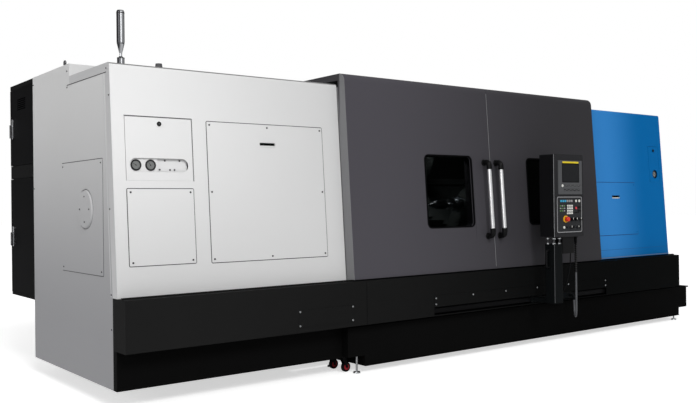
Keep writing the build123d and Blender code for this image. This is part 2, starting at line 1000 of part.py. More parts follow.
keep(tailstock_cover.part, "tailstock_cover")

with BuildPart() as tailstock_panel:
    with BuildSketch(leaning(0)):
        slope_panel((blue_panel_left, blue_panel_right), (blue_panel_bottom, blue_panel_top))
    extrude(amount=panel_thickness)
    pull_cup(blue_pull_x, blue_panel_top - blue_pull_drop)
keep(tailstock_panel.part, "tailstock_panel")

with BuildPart() as valve_hatch:
    with BuildSketch(leaning(0)):
        slope_panel((valve_left, valve_right), (valve_bottom, valve_top), 3)
        with Locations((valve_gauge_x, up(valve_gauge_z))):
            Circle(valve_hole_radius, mode=Mode.SUBTRACT)
    extrude(amount=-sheet)
    with BuildSketch(leaning(0)):
        with Locations(((valve_left + valve_right) / 2, up(valve_top - lock_drop))):
            Circle(valve_lock_radius)
    extrude(amount=lock_proud)
keep(valve_hatch.part, "valve_hatch")

# Chamber liner: two end walls, a back sheet and the chute down to the tank
bed_top_z = slant_point(bed_high_edge, -way_drop)[1]
band_lip = face_y(band_top) + 12
wall_outline = [
    (face_y(band_top) + sheet + 1, band_top),
    (face_y(front_roof - cover_bend) + sheet + 1, front_roof - cover_bend),
    (face_y(front_roof) + cover_bend, front_roof - sheet),
    (roof_step + sheet, front_roof - sheet),
    (roof_step + sheet, rear_roof - cover_bend),
    (roof_step + cover_bend, rear_roof - sheet),
    (bed_rear + 2 * sheet, rear_roof - sheet),
    (bed_rear + 2 * sheet, bed_top_z - 200),
    (bed_front, bed_shoulder - 150),
    (face_y(band_top) + 190, band_bottom + 40),
    (band_lip, band_top - 80),
    (band_lip, band_top),
]
with BuildPart() as chamber_liner:
    for wall_x in (grey_cover_width, doors_right - sheet):
        with BuildSketch(section(wall_x)):
            Polygon(*wall_outline, align=None)
            Polygon(*bed_outline, align=None, mode=Mode.SUBTRACT)
        extrude(amount=sheet)
    with BuildSketch(section(grey_cover_width)):
        with Locations((axis_y, axis_z)):
            Circle(nose_radius + 15)
    extrude(amount=sheet, mode=Mode.SUBTRACT)
    with BuildSketch(section(grey_cover_width)):
        Polygon(
            (bed_rear, bed_top_z),
            (bed_rear + sheet, bed_top_z),
            (bed_rear + sheet, rear_roof - sheet),
            (bed_rear, rear_roof - sheet),
            align=None,
        )
        add(folded([
            (band_lip, band_top - sheet),
            (band_lip + 45, band_top - 80),
            (band_lip + 190, band_bottom + 45),
        ], 30, sheet, Side.RIGHT))
    extrude(amount=doors_right - grey_cover_width)
keep(chamber_liner.part, "chamber_liner")

# Lower band: a box section open at the back, with the recessed skirt at its left end
band_points = [
    (band_lip, band_top),
    (band_front, band_top),
    (band_front, band_bottom),
    (band_back, band_bottom),
]
with BuildPart() as lower_band:
    with BuildSketch(section(0)):
        add(folded(band_points, 5, sheet, Side.LEFT))
    extrude(amount=machine_length)
    for end_x in (0, machine_length - sheet):
        block((end_x, end_x + sheet), (band_front + 1, band_back), (band_bottom + 1, band_top - 1))
    block((0, tank_left - end_seam), (band_back, band_back + sheet), (cover_base, band_bottom + sheet))
    block((0, sheet), (band_back, face_y(band_top) + cover_edge), (cover_base, band_top - 1))
    # Slot for the pendant's arm
    with BuildSketch(elevation(band_front)):
        panel((slot_left, slot_right), (slot_bottom, slot_top), 4)
    extrude(amount=-2 * sheet, mode=Mode.SUBTRACT)
    # Track under the doors
    track_y = face_y(band_top, door_standoff) + door_depth / 2
    block((sheet, machine_length - sheet), (track_y - track_width / 2, track_y + track_width / 2),
          (band_top, band_top + track_height))
keep(lower_band.part, "lower_band")

with BuildPart() as rail_strip:
    block((slot_left, slot_right), (band_front - strip_proud, band_front), (slot_top + 2, strip_top))
    block((plate_left, plate_right), (band_front - strip_proud, band_front), (plate_bottom, plate_top))
keep(rail_strip.part, "rail_strip")

# Rail inside the band that carries the pendant
rail_head_rear = rail_head_front + rail_head_depth
rail_middle = rail_head_bottom + rail_head_height / 2
web_rear = rail_head_rear + rail_web_depth
with BuildPart() as pendant_rail:
    with BuildSketch(section(slot_left - rail_overrun)):
        Polygon(
            (rail_head_front, rail_head_bottom),
            (rail_head_front, rail_head_bottom + rail_head_height),
            (rail_head_rear, rail_head_bottom + rail_head_height),
            (rail_head_rear, rail_middle + rail_web / 2),
            (web_rear, rail_middle + rail_web / 2),
            (web_rear, rail_head_bottom + 2 * rail_head_height),
            (web_rear + rail_plate, rail_head_bottom + 2 * rail_head_height),
            (web_rear + rail_plate, band_bottom + sheet),
            (web_rear, band_bottom + sheet),
            (web_rear, rail_middle - rail_web / 2),
            (rail_head_rear, rail_middle - rail_web / 2),
            (rail_head_rear, rail_head_bottom),
            align=None,
        )
    extrude(amount=slot_right - slot_left + 2 * rail_overrun)
keep(pendant_rail.part, "pendant_rail")

# Sliding doors: a tray with a leaning front and a roof, a window frame and a pane
door_foot = band_top + track_height + running_gap
door_roof_under = door_top - door_roof_depth
door_rear = roof_step - 6


def door_section(inset):
    """Outline of a door's front and roof, drawn in by inset from its outer skin and ends."""
    proud = door_standoff - inset
    back = door_standoff - door_depth
    with BuildSketch() as outline:
        with BuildLine():
            FilletPolyline(
                (face_y(door_foot + inset, proud), door_foot + inset),
                (face_y(door_top - inset, proud), door_top - inset),
                (door_rear - inset, door_top - inset),
                radius=door_bend - inset,
            )
            Polyline(
                (door_rear - inset, door_top - inset),
                (door_rear - inset, door_roof_under - inset),
                (face_y(door_roof_under, back - inset), door_roof_under - inset),
                (face_y(door_foot + inset, back - inset), door_foot + inset),
                (face_y(door_foot + inset, proud), door_foot + inset),
            )
        make_face()
    return outline.sketch


def door_x(start, end, window_left):
    """Named distances of one door: its ends and its window's ends."""
    return (start, end, window_left, window_left + window_width)


left_door_x = door_x(grey_cover_width + door_gap, door_seam - door_gap / 2, left_window_left)
right_door_x = door_x(door_seam + door_gap / 2, doors_right - door_gap, right_window_left)
window_z = (window_bottom, window_top)
for name, ends, handle_x in (("left", left_door_x, left_handle_x), ("right", right_door_x, right_handle_x)):
    start, end, pane_start, pane_end = ends
    with BuildPart() as door:
        with BuildSketch(section(start)):
            add(door_section(0))
        extrude(amount=end - start)
        with BuildSketch(section(start + door_sheet)):
            add(door_section(door_sheet))
        extrude(amount=end - start - 2 * door_sheet, mode=Mode.SUBTRACT)
        # Window frame between the skin and the open back
        with BuildSketch(leaning(door_standoff - door_sheet)):
            slope_panel((pane_start - window_frame, pane_end + window_frame),
                        (window_z[0] - window_frame, window_z[1] + window_frame),
                        window_corner + window_frame, proud=door_standoff)
        extrude(amount=-(door_depth - door_sheet))
        with BuildSketch(leaning(door_standoff + 1)):
            slope_panel((pane_start, pane_end), window_z, window_corner, proud=door_standoff)
        extrude(amount=-(door_depth + 2), mode=Mode.SUBTRACT)
    keep(door.part, f"{name}_door")
    with BuildPart() as window:
        with BuildSketch(leaning(door_standoff - pane_setback)):
            slope_panel((pane_start, pane_end), window_z, window_corner, proud=door_standoff)
        extrude(amount=-pane_thickness)
    keep(window.part, f"{name}_window")
    # Handle: a straight tube between two elbows that stand off the door's face
    with BuildPart() as handle:
        tube_out = handle_reach - handle_tube / 2
        low = up(handle_bottom, door_standoff)
        high = up(handle_top, door_standoff)
        for elbow, sense in ((low, 1), (high, -1)):
            with BuildSketch(leaning(door_standoff)):
                with Locations((handle_x, elbow)):
                    Circle(handle_elbow / 2 + rosette)
            extrude(amount=rosette)
            with BuildLine(leaning_side(handle_x)) as bend:
                FilletPolyline((rosette, elbow), (tube_out, elbow),
                               (tube_out, elbow + sense * elbow_length), radius=handle_bend)
            with BuildSketch(Plane(origin=bend.line @ 0, z_dir=bend.line % 0)):
                Circle(handle_elbow / 2)
            sweep(path=bend.wires()[0])
        with BuildLine(leaning_side(handle_x)) as straight:
            Line((tube_out, low + elbow_length), (tube_out, high - elbow_length))
        with BuildSketch(Plane(origin=straight.line @ 0, z_dir=straight.line % 0)):
            Circle(handle_tube / 2)
        sweep(path=straight.wires()[0])
    keep(handle.part, f"{name}_door_handle")

# Pendant post with its arm and the shoe that wraps round the rail
post_rear = pendant_front + post_depth
post_right = pendant_left + post_width
shoe_front = rail_head_front - running_gap - shoe_wall
shoe_rear = rail_head_rear + running_gap + shoe_wall
inlet_z = rail_middle - inlet_drop


def shoe_profile():
    """Section of a shoe that grips the rail's head from the front."""
    low = rail_head_bottom - running_gap
    high = rail_head_bottom + rail_head_height + running_gap
    Polygon(
        (shoe_front, low - shoe_wall),
        (shoe_rear, low - shoe_wall),
        (shoe_rear, rail_middle - rail_web / 2 - running_gap),
        (rail_head_rear + running_gap, rail_middle - rail_web / 2 - running_gap),
        (rail_head_rear + running_gap, low),
        (rail_head_front - running_gap, low),
        (rail_head_front - running_gap, high),
        (rail_head_rear + running_gap, high),
        (rail_head_rear + running_gap, rail_middle + rail_web / 2 + running_gap),
        (shoe_rear, rail_middle + rail_web / 2 + running_gap),
        (shoe_rear, high + shoe_wall),
        (shoe_front, high + shoe_wall),
        align=None,
    )


with BuildPart() as pendant_post:
    with BuildSketch(level(post_bottom)):
        panel((pendant_left, post_right), (pendant_front, post_rear), post_corner)
    extrude(amount=post_top - post_bottom)
    block((pendant_left + arm_inset, post_right - arm_inset), (post_rear - 1, shoe_front + 1),
          (arm_bottom, arm_bottom + arm_height))
    with BuildSketch(section(pendant_left + (post_width - shoe_length) / 2)):
        shoe_profile()
    extrude(amount=shoe_length)
    # Carrier on the same rail for the two cords
    with BuildSketch(section(carrier_left)):
        shoe_profile()
    extrude(amount=carrier_right - carrier_left)
    # Elbow fitting that takes the conduit through the slot
    with BuildLine(section(inlet_x)) as inlet:
        FilletPolyline((shoe_front + shoe_wall / 2, rail_middle), (inlet_y, rail_middle), (inlet_y, inlet_z),
                       radius=inlet_bend)
    with BuildSketch(Plane(origin=inlet.line @ 0, z_dir=inlet.line % 0)):
        Circle(conduit_diameter * 0.75)
    sweep(path=inlet.wires()[0])
keep(pendant_post.part, "pendant_post")

with BuildPart() as pendant_studs:
    with BuildSketch(level(post_top)):
        for stud_x in (pendant_left + stud_inset, post_right - stud_inset):
            for stud_y in (pendant_front + stud_inset, post_rear - stud_inset):
                with Locations((stud_x, stud_y)):
                    Circle(stud_radius)
    extrude(amount=pendant_bottom - post_top)
keep(pendant_studs.part, "pendant_studs")

# Pendant box
pendant_right = pendant_left + pendant_width
pendant_rear = pendant_front + pendant_depth
with BuildPart() as pendant_box:
    with BuildSketch(elevation(pendant_front)):
        panel((pendant_left, pendant_right), (pendant_bottom, pendant_top), pendant_corner)
    extrude(amount=-pendant_depth)
    fillet(pendant_box.faces().sort_by(Axis.Y)[0].edges(), 4)
keep(pendant_box.part, "pendant_box")

with BuildPart() as display_unit:
    with BuildSketch(elevation(pendant_front)):
        panel((display_left, display_right), (display_bottom, display_top), 5)
    extrude(amount=display_proud)
    with BuildSketch(elevation(pendant_front - display_proud)):
        panel((screen_left, screen_right), (screen_bottom, screen_top), 2)
    extrude(amount=-screen_sink, mode=Mode.SUBTRACT)
keep(display_unit.part, "display_unit")

# Control panel with its keys and the switches that are fused to it
console_face = pendant_front - console_proud
with BuildPart() as control_panel:
    with BuildSketch(elevation(pendant_front)):
        panel((console_left, console_right), (console_bottom, console_top), console_corner)
    extrude(amount=console_proud)
    with BuildSketch(elevation(console_face)):
        with Locations((e_stop_x, e_stop_z)):
            Circle(e_stop_base_radius)
    extrude(amount=e_stop_base_proud, taper=8)
    with BuildSketch(elevation(console_face - e_stop_base_proud)):
        with Locations((e_stop_x, e_stop_z)):
            Circle(e_stop_stem_radius + running_gap)
    extrude(amount=-2 * e_stop_travel - running_gap, mode=Mode.SUBTRACT)
    with BuildSketch(elevation(console_face)):
        for row in range(keypad_rows):
            for column in range(keypad_columns):
                with Locations((keypad_left + column * keypad_pitch, keypad_top - row * keypad_pitch)):
                    RectangleRounded(key_size, key_size, 2)
        for key in range(key_row_count):
            with Locations((key_row_left + key * key_row_pitch, key_row_z)):
                RectangleRounded(key_size, key_size, 2)
    extrude(amount=key_proud)
    with BuildSketch(elevation(console_face)):
        for spot in [(third_knob_x, knob_z)] + [(x, lower_knob_z) for x in lower_knob_x]:
            with Locations(spot):
                Circle(knob_radius)
    extrude(amount=knob_proud, taper=4)
    with BuildSketch(elevation(console_face)):
        for spot in ((spare_button_x, start_button_z), (lower_button_x, lower_knob_z)):
            with Locations(spot):
                Circle(button_radius)
    extrude(amount=button_proud)
    with BuildSketch(elevation(console_face)):
        for spot in ((start_button_x, start_button_z), (stop_button_x, stop_button_z)):
            with Locations(spot):
                Circle(button_radius + button_collar)
                Circle(button_radius + running_gap, mode=Mode.SUBTRACT)
    extrude(amount=button_proud - button_travel - running_gap)
keep(control_panel.part, "control_panel")

# Emergency stop, two push buttons and two knobs that move
with BuildPart() as e_stop_button:
    with BuildSketch(elevation(console_face - e_stop_base_proud - e_stop_travel - running_gap)):
        with Locations((e_stop_x, e_stop_z)):
            Circle(e_stop_radius)
    extrude(amount=e_stop_reach - e_stop_travel - running_gap)
    fillet(e_stop_button.faces().sort_by(Axis.Y)[0].edges(), 6)
    with BuildSketch(elevation(console_face - e_stop_base_proud - running_gap)):
        with Locations((e_stop_x, e_stop_z)):
            Circle(e_stop_stem_radius)
    extrude(amount=e_stop_travel + running_gap)
keep(e_stop_button.part, "e_stop_button")

for name, spot in (("start", (start_button_x, start_button_z)), ("stop", (stop_button_x, stop_button_z))):
    with BuildPart() as button:
        with BuildSketch(elevation(console_face - button_travel - running_gap)):
            with Locations(spot):
                Circle(button_radius)
        extrude(amount=button_proud - button_travel)
        fillet(button.faces().sort_by(Axis.Y)[0].edges(), 1.5)
    keep(button.part, f"{name}_button")

for name, knob_x in (("feed", feed_knob_x), ("spindle", spindle_knob_x)):
    with BuildPart() as knob:
        with BuildSketch(elevation(console_face - running_gap)):
            with Locations((knob_x, knob_z)):
                Circle(knob_radius)
        extrude(amount=knob_proud - running_gap, taper=4)
        with BuildSketch(elevation(console_face - knob_proud)):
            with Locations((knob_x, knob_z + knob_radius / 2)):
                Rectangle(2, knob_radius)
        extrude(amount=-knob_proud / 2, mode=Mode.SUBTRACT)
    keep(knob.part, f"{name}_knob")


def grab(x, sense, low, high, y):
    """A round grab handle on an upright side at x, reaching out in the given sense."""
    path = [(x, low), (x + sense * grab_reach, low), (x + sense * grab_reach, high), (x, high)]
    with BuildLine(elevation(y)) as rod:
        FilletPolyline(*path, radius=grab_tube)
    with BuildSketch(Plane(origin=rod.line @ 0, z_dir=rod.line % 0)) as profile:
        Circle(grab_tube / 2)
    sweep(profile.sketch, path=rod.wires()[0])


# Grab handles on the box's right side and on the post's left side
with BuildPart() as grab_handles:
    half = grab_tube / 2
    grab(pendant_right, 1, side_grab_bottom + half, side_grab_top - half,
         pendant_front + pendant_depth / 3)
    grab(pendant_left, -1, post_grab_bottom + half, post_grab_top - half,
         pendant_front + post_depth / 2)
keep(grab_handles.part, "grab_handles")

# Route of the pendant's conduit and of its thin cable, as distances from the machine's corner
conduit_route = [
    (4168, -306, pendant_bottom - gland_length),
    (4168, -306, 800),
    (4166, -308, 665),
    (4164, -309, 530),
    (4165, -308, 410),
    (4168, -306, 291),
    (4210, -267, 233),
    (4270, -211, 233),
    (inlet_x, inlet_y, 291),
    (inlet_x, inlet_y, inlet_z),
]
cable_route = [
    (4104, -300, pendant_bottom - gland_length),
    (4104, -300, 800),
    (4098, -292, 660),
    (4088, -262, 540),
    (4082, -222, 455),
    (4080, -178, rail_middle),
    (4080, shoe_front, rail_middle),
]


def corner_radii(points):
    """Arc radius at each inner corner: 0.45 of the shorter run over the tangent of half the turn."""
    radii = []
    for before, here, after in zip(points, points[1:], points[2:]):
        arriving = Vector(*here) - Vector(*before)
        leaving = Vector(*after) - Vector(*here)
        half_turn = radians(arriving.get_angle(leaving) / 2)
        radii.append(0.45 * min(arriving.length, leaving.length) / tan(half_turn))
    return radii


def placed(route):
    """A cord's route in the part's own frame."""
    return [(left + x, front + y, z) for x, y, z in route]


for name, route, diameter in (
    ("pendant_conduit", conduit_route, conduit_diameter),
    ("pendant_cable", cable_route, cable_diameter),
):
    points = placed(route)
    radii = corner_radii(points)
    with BuildLine() as path:
        FilletPolyline(*points, radius=radii)
    with BuildPart() as cord:
        with BuildSketch(Plane(origin=path.line @ 0, z_dir=path.line % 0)):
            Circle(diameter / 2)
        sweep(path=path.wires()[0])
    length = path.wires()[0].length
    ideal = length * pi * (diameter / 2) ** 2
    print(name, "length", round(length), "radii", [round(r) for r in radii],
          "volume ratio", round(cord.part.volume / ideal, 4))
    keep(cord.part, name)

# Junction box under the pendant, with the glands of both cords
with BuildPart() as junction_box:
    with BuildSketch(level(junction_bottom)):
        panel((junction_left, junction_right), (junction_front, junction_rear), 4)
    extrude(amount=pendant_bottom - junction_bottom)
    for route, diameter in ((conduit_route, conduit_diameter), (cable_route, cable_diameter)):
        with BuildSketch(level(pendant_bottom - gland_length)):
            with Locations((route[0][0], route[0][1])):
                Circle(diameter * 0.8)
        extrude(amount=gland_length)
        with BuildSketch(level(pendant_bottom - gland_length / 3)):
            with Locations((route[0][0], route[0][1])):
                RegularPolygon(diameter * 1.1, 6)
        extrude(amount=gland_length / 3)
keep(junction_box.part, "junction_box")

# Coolant tank: open at the top, stepped under its left end and with a shallow tray at its right
with BuildPart() as coolant_tank:
    with BuildSketch(elevation(tank_front)) as tank_side:
        Polygon(
            (tank_left, tank_top), (tank_left, tank_shelf),
            (tank_step_left, tank_shelf), (tank_step_left, tank_bottom),
            (tank_step_right, tank_bottom), (tank_step_right, tank_shelf),
            (tank_right, tank_shelf), (tank_right, tank_top),
            align=None,
        )
    extrude(amount=tank_front - tank_rear)
    with BuildSketch(elevation(tank_front + sheet)):
        Polygon(
            (tank_left + sheet, tank_top), (tank_left + sheet, tank_shelf + sheet),
            (tank_step_left + sheet, tank_shelf + sheet), (tank_step_left + sheet, tank_bottom + sheet),
            (tank_step_right - sheet, tank_bottom + sheet), (tank_step_right - sheet, tank_shelf + sheet),
            (tank_right - sheet, tank_shelf + sheet), (tank_right - sheet, tank_top),
            align=None,
        )
    extrude(amount=tank_front - tank_rear + 2 * sheet, mode=Mode.SUBTRACT)
    block((tank_step_left, tank_step_right), (tank_front - tank_flange, tank_front + 1),
          (tank_bottom, tank_bottom + sheet))
    block((tank_right - 1, tank_rim_right), (tank_front, tank_rear), (tank_top - rim_height, tank_top))
keep(coolant_tank.part, "coolant_tank")

# Two swivelling casters under the tank's stepped end
fork_top = tank_shelf - running_gap
for name, caster_row in (("front", caster_y[0]), ("rear", caster_y[1])):
    wheel_x = caster_x + caster_trail
    with BuildPart() as fork:
        with BuildSketch(level(fork_top - fork_top_plate)):
            with Locations((caster_x, caster_row)):
                Circle(fork_width / 2 + 4)
        extrude(amount=fork_top_plate)
        for sense in (-1, 1):
            with BuildSketch(elevation(caster_row + sense * (fork_width - fork_plate) / 2 - fork_plate / 2)):
                Polygon(
                    (caster_x - 18, fork_top), (caster_x + 20, fork_top),
                    (wheel_x + 10, wheel_radius), (wheel_x, wheel_radius - 10),
                    (wheel_x - 10, wheel_radius), align=None,
                )
            extrude(amount=-fork_plate)
        with BuildSketch(elevation(caster_row - fork_width / 2)):
            with Locations((wheel_x, wheel_radius)):
                Circle(axle_radius)
        extrude(amount=-fork_width)
    keep(fork.part, f"caster_fork_{name}")
    with BuildPart() as wheel:
        with BuildSketch(elevation(caster_row - wheel_width / 2)):
            with Locations((wheel_x, wheel_radius)):
                Circle(wheel_radius)
                Circle(axle_radius + 0.05, mode=Mode.SUBTRACT)
        extrude(amount=-wheel_width)
        fillet(wheel.edges().filter_by(GeomType.CIRCLE).group_by(SortBy.RADIUS)[-1], 4)
    keep(wheel.part, f"caster_wheel_{name}")

# Electrical cabinet behind the machine, open at its left end
cabinet_front = cover_rear
with BuildPart() as cabinet_shell:
    block((cabinet_door_depth + cabinet_seam / 4, cabinet_length), (cabinet_front, cabinet_rear),
          (cabinet_bottom, rear_roof))
    block((cabinet_door_depth + sheet, cabinet_length - sheet),
          (cabinet_front + sheet, cabinet_rear - sheet), (cabinet_bottom + sheet, rear_roof - sheet),
          Mode.SUBTRACT)
    with BuildSketch(section(0)):
        for bottom, top in ((upper_door_bottom, upper_door_top), (lower_door_bottom, lower_door_top)):
            panel((cabinet_front + cabinet_frame, cabinet_rear - cabinet_frame),
                  (bottom + cabinet_frame, top - cabinet_frame), 4)
    extrude(amount=cabinet_door_depth + 3 * sheet, mode=Mode.SUBTRACT)
keep(cabinet_shell.part, "cabinet_shell")

with BuildPart() as cabinet_backplate:
    plate_x = cabinet_length - sheet - backplate_gap
    block((plate_x, plate_x + backplate_thickness), (cabinet_front + sheet, cabinet_rear - sheet),
          (cabinet_bottom + backplate_gap, rear_roof - backplate_gap))
keep(cabinet_backplate.part, "cabinet_backplate")

# Cabinet doors: trays with a lever handle, the upper one with a row of louvres
for name, bottom, top, lever_z in (
    ("upper", upper_door_bottom, upper_door_top, lever_upper_z),
    ("lower", lower_door_bottom, lower_door_top, lever_lower_z),
):
    with BuildPart() as cabinet_door:
        door_y = (cabinet_front + cabinet_seam, cabinet_rear - cabinet_seam)
        block((0, cabinet_door_depth), door_y, (bottom, top))
        block((sheet, cabinet_door_depth), (door_y[0] + sheet, door_y[1] - sheet),
              (bottom + sheet, top - sheet), Mode.SUBTRACT)
        with BuildSketch(section(0)):
            with Locations((lever_y, lever_z)):
                SlotOverall(lever_length, lever_width, rotation=90)
        extrude(amount=-lever_proud / 3)
        with BuildSketch(section(-lever_proud / 3)):
            with Locations((lever_y, lever_z - lever_length / 8)):
                RectangleRounded(lever_width * 0.6, lever_length * 0.66, 5)
        extrude(amount=-lever_proud * 2 / 3)
        if name == "upper":
            for row in range(louvre_count):
                with BuildSketch(section(-1)):
                    with Locations(((door_y[0] + door_y[1]) / 2, top - 90 - row * louvre_pitch)):
                        SlotOverall(louvre_width, louvre_pitch / 2)
                extrude(amount=sheet + 2, mode=Mode.SUBTRACT)
    keep(cabinet_door.part, f"{name}_cabinet_door")

# Signal tower
with BuildPart() as signal_tower:
    tower_origin = (left + tower_x, front + tower_y, front_roof)
    with BuildSketch(Plane(origin=tower_origin, x_dir=(1, 0, 0), z_dir=(0, -1, 0))):
        Polygon(
            (0, 0),
            (tower_base_radius, 0),
            (tower_base_radius, tower_base_height),
            (tower_neck_radius, tower_base_height),
            (tower_neck_radius, tower_neck_top),
            (tower_radius - 2, tower_shoulder),
            (tower_radius - 2, tower_lens_bottom),
            (tower_radius, tower_lens_bottom),
            (tower_radius, tower_height - tower_crown),
            (tower_radius - tower_crown / 2, tower_height),
            (0, tower_height),
            align=None,
        )
    revolve(axis=Axis((left + tower_x, front + tower_y, 0), (0, 0, 1)))
keep(signal_tower.part, "signal_tower")

# Eye bolts at both ends of the tall roof
with BuildPart() as eye_bolts:
    for bolt_x in (eye_bolt_x, machine_length - eye_bolt_x):
        ring_z = rear_roof + 14 + eye_ring_radius + eye_wire_radius
        with BuildSketch(level(rear_roof)):
            with Locations((bolt_x, eye_bolt_y)):
                Circle(17)
        extrude(amount=8, taper=10)
        with BuildSketch(level(rear_roof + 7)):
            with Locations((bolt_x, eye_bolt_y)):
                Circle(9)
        extrude(amount=12)
        with Locations(Location((left + bolt_x, front + eye_bolt_y, ring_z), (0, 90, 0))):
            Torus(eye_ring_radius, eye_wire_radius)
keep(eye_bolts.part, "eye_bolts")
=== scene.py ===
"""Looks of a slant-bed turning lathe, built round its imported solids."""

import math

import bmesh
import bpy
from mathutils import Matrix, Vector


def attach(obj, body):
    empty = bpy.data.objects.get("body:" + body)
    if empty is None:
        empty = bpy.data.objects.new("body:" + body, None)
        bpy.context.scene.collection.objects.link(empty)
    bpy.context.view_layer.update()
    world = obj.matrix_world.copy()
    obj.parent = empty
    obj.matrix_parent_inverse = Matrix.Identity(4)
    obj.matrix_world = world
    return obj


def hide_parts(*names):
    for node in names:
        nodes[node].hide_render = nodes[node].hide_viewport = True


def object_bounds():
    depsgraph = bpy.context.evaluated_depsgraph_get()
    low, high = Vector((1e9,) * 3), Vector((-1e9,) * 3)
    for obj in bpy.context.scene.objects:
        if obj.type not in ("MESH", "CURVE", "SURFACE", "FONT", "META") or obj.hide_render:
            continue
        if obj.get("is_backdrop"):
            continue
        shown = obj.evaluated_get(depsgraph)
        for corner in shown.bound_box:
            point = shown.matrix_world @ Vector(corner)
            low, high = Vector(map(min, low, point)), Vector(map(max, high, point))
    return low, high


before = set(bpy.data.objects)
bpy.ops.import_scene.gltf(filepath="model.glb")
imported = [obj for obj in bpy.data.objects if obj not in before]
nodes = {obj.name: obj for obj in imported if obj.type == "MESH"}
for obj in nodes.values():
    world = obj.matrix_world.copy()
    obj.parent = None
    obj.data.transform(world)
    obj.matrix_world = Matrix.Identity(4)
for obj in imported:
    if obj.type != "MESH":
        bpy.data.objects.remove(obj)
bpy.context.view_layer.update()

# The machine's own corner (left cover, skirt front, floor) in the part's frame, in metres
CORNER = Vector((-3.195, -0.8935, 0.0))
LEAN = math.radians(3.8)
COVER_FOOT = -0.018
BAND_TOP = 0.700
BAND_FRONT = -0.140
STRIP_FRONT = -0.143
PANEL_PROUD = 0.003
DOOR_PROUD = 0.098
SIDE_FACE = -0.0002
CONSOLE_Y = -0.384
BOX_Y = -0.380
DISPLAY_Y = -0.388
# Printed lines and thin pieces start this far inside the face they lie on
SUNK = -0.0002


def at(x, y, z):
    """A point given from the machine's corner, in the part's frame."""
    return CORNER + Vector((x, y, z))


# ---------------------------------------------------------------- camera
PHOTO_WIDTH = 697
FOCAL_PX = 836.9
SENSOR_WIDTH = 36
CAMERA_PLACE = (-2.034, -5.007, 1.272)
YAW, PITCH, ROLL = (math.radians(a) for a in (37.69, 0.20, -0.66))
forward = Vector((math.sin(YAW) * math.cos(PITCH), math.cos(YAW) * math.cos(PITCH), math.sin(PITCH)))
level_right = Vector((math.cos(YAW), -math.sin(YAW), 0))
level_up = level_right.cross(forward)
right = level_right * math.cos(ROLL) + level_up * math.sin(ROLL)
upward = level_up * math.cos(ROLL) - level_right * math.sin(ROLL)
camera = bpy.data.objects.new("camera", bpy.data.cameras.new("camera"))
bpy.context.scene.collection.objects.link(camera)
camera.matrix_world = Matrix((
    (right.x, upward.x, -forward.x, 0),
    (right.y, upward.y, -forward.y, 0),
    (right.z, upward.z, -forward.z, 0),
    (0, 0, 0, 1),
))
camera.location = at(*CAMERA_PLACE)
camera.data.sensor_width = SENSOR_WIDTH
camera.data.lens = FOCAL_PX * SENSOR_WIDTH / PHOTO_WIDTH
camera.data.clip_end = 200
bpy.context.scene.camera = camera

# ---------------------------------------------------------------- materials
FINE_GRAIN = 420.0
GRAIN_DEPTH = 0.0006
DUST_TONE = (150, 148, 144)
BRIGHT_METAL = (214, 215, 218)
made = {}


def tree_of(name):
    """A new material with its shader and a function that adds and wires nodes."""
    material = bpy.data.materials.new(name)
    material.use_nodes = True
    tree = material.node_tree
    shader = tree.nodes["Principled BSDF"]
    made[name] = material

    def add(kind, inputs=None, **settings):
        node = tree.nodes.new(kind)
        for key, value in settings.items():
            setattr(node, key, value)
        for key, value in (inputs or {}).items():
            if isinstance(value, bpy.types.NodeSocket):
                tree.links.new(value, node.inputs[key])
            else:
                node.inputs[key].default_value = value
        return node

    return material, tree, shader, add


def rgb(colour):
    """Linear colour from screen values 0 to 255."""
    return tuple(((c / 255 + 0.055) / 1.055) ** 2.4 if c > 10 else c / 255 / 12.92 for c in colour) + (1,)


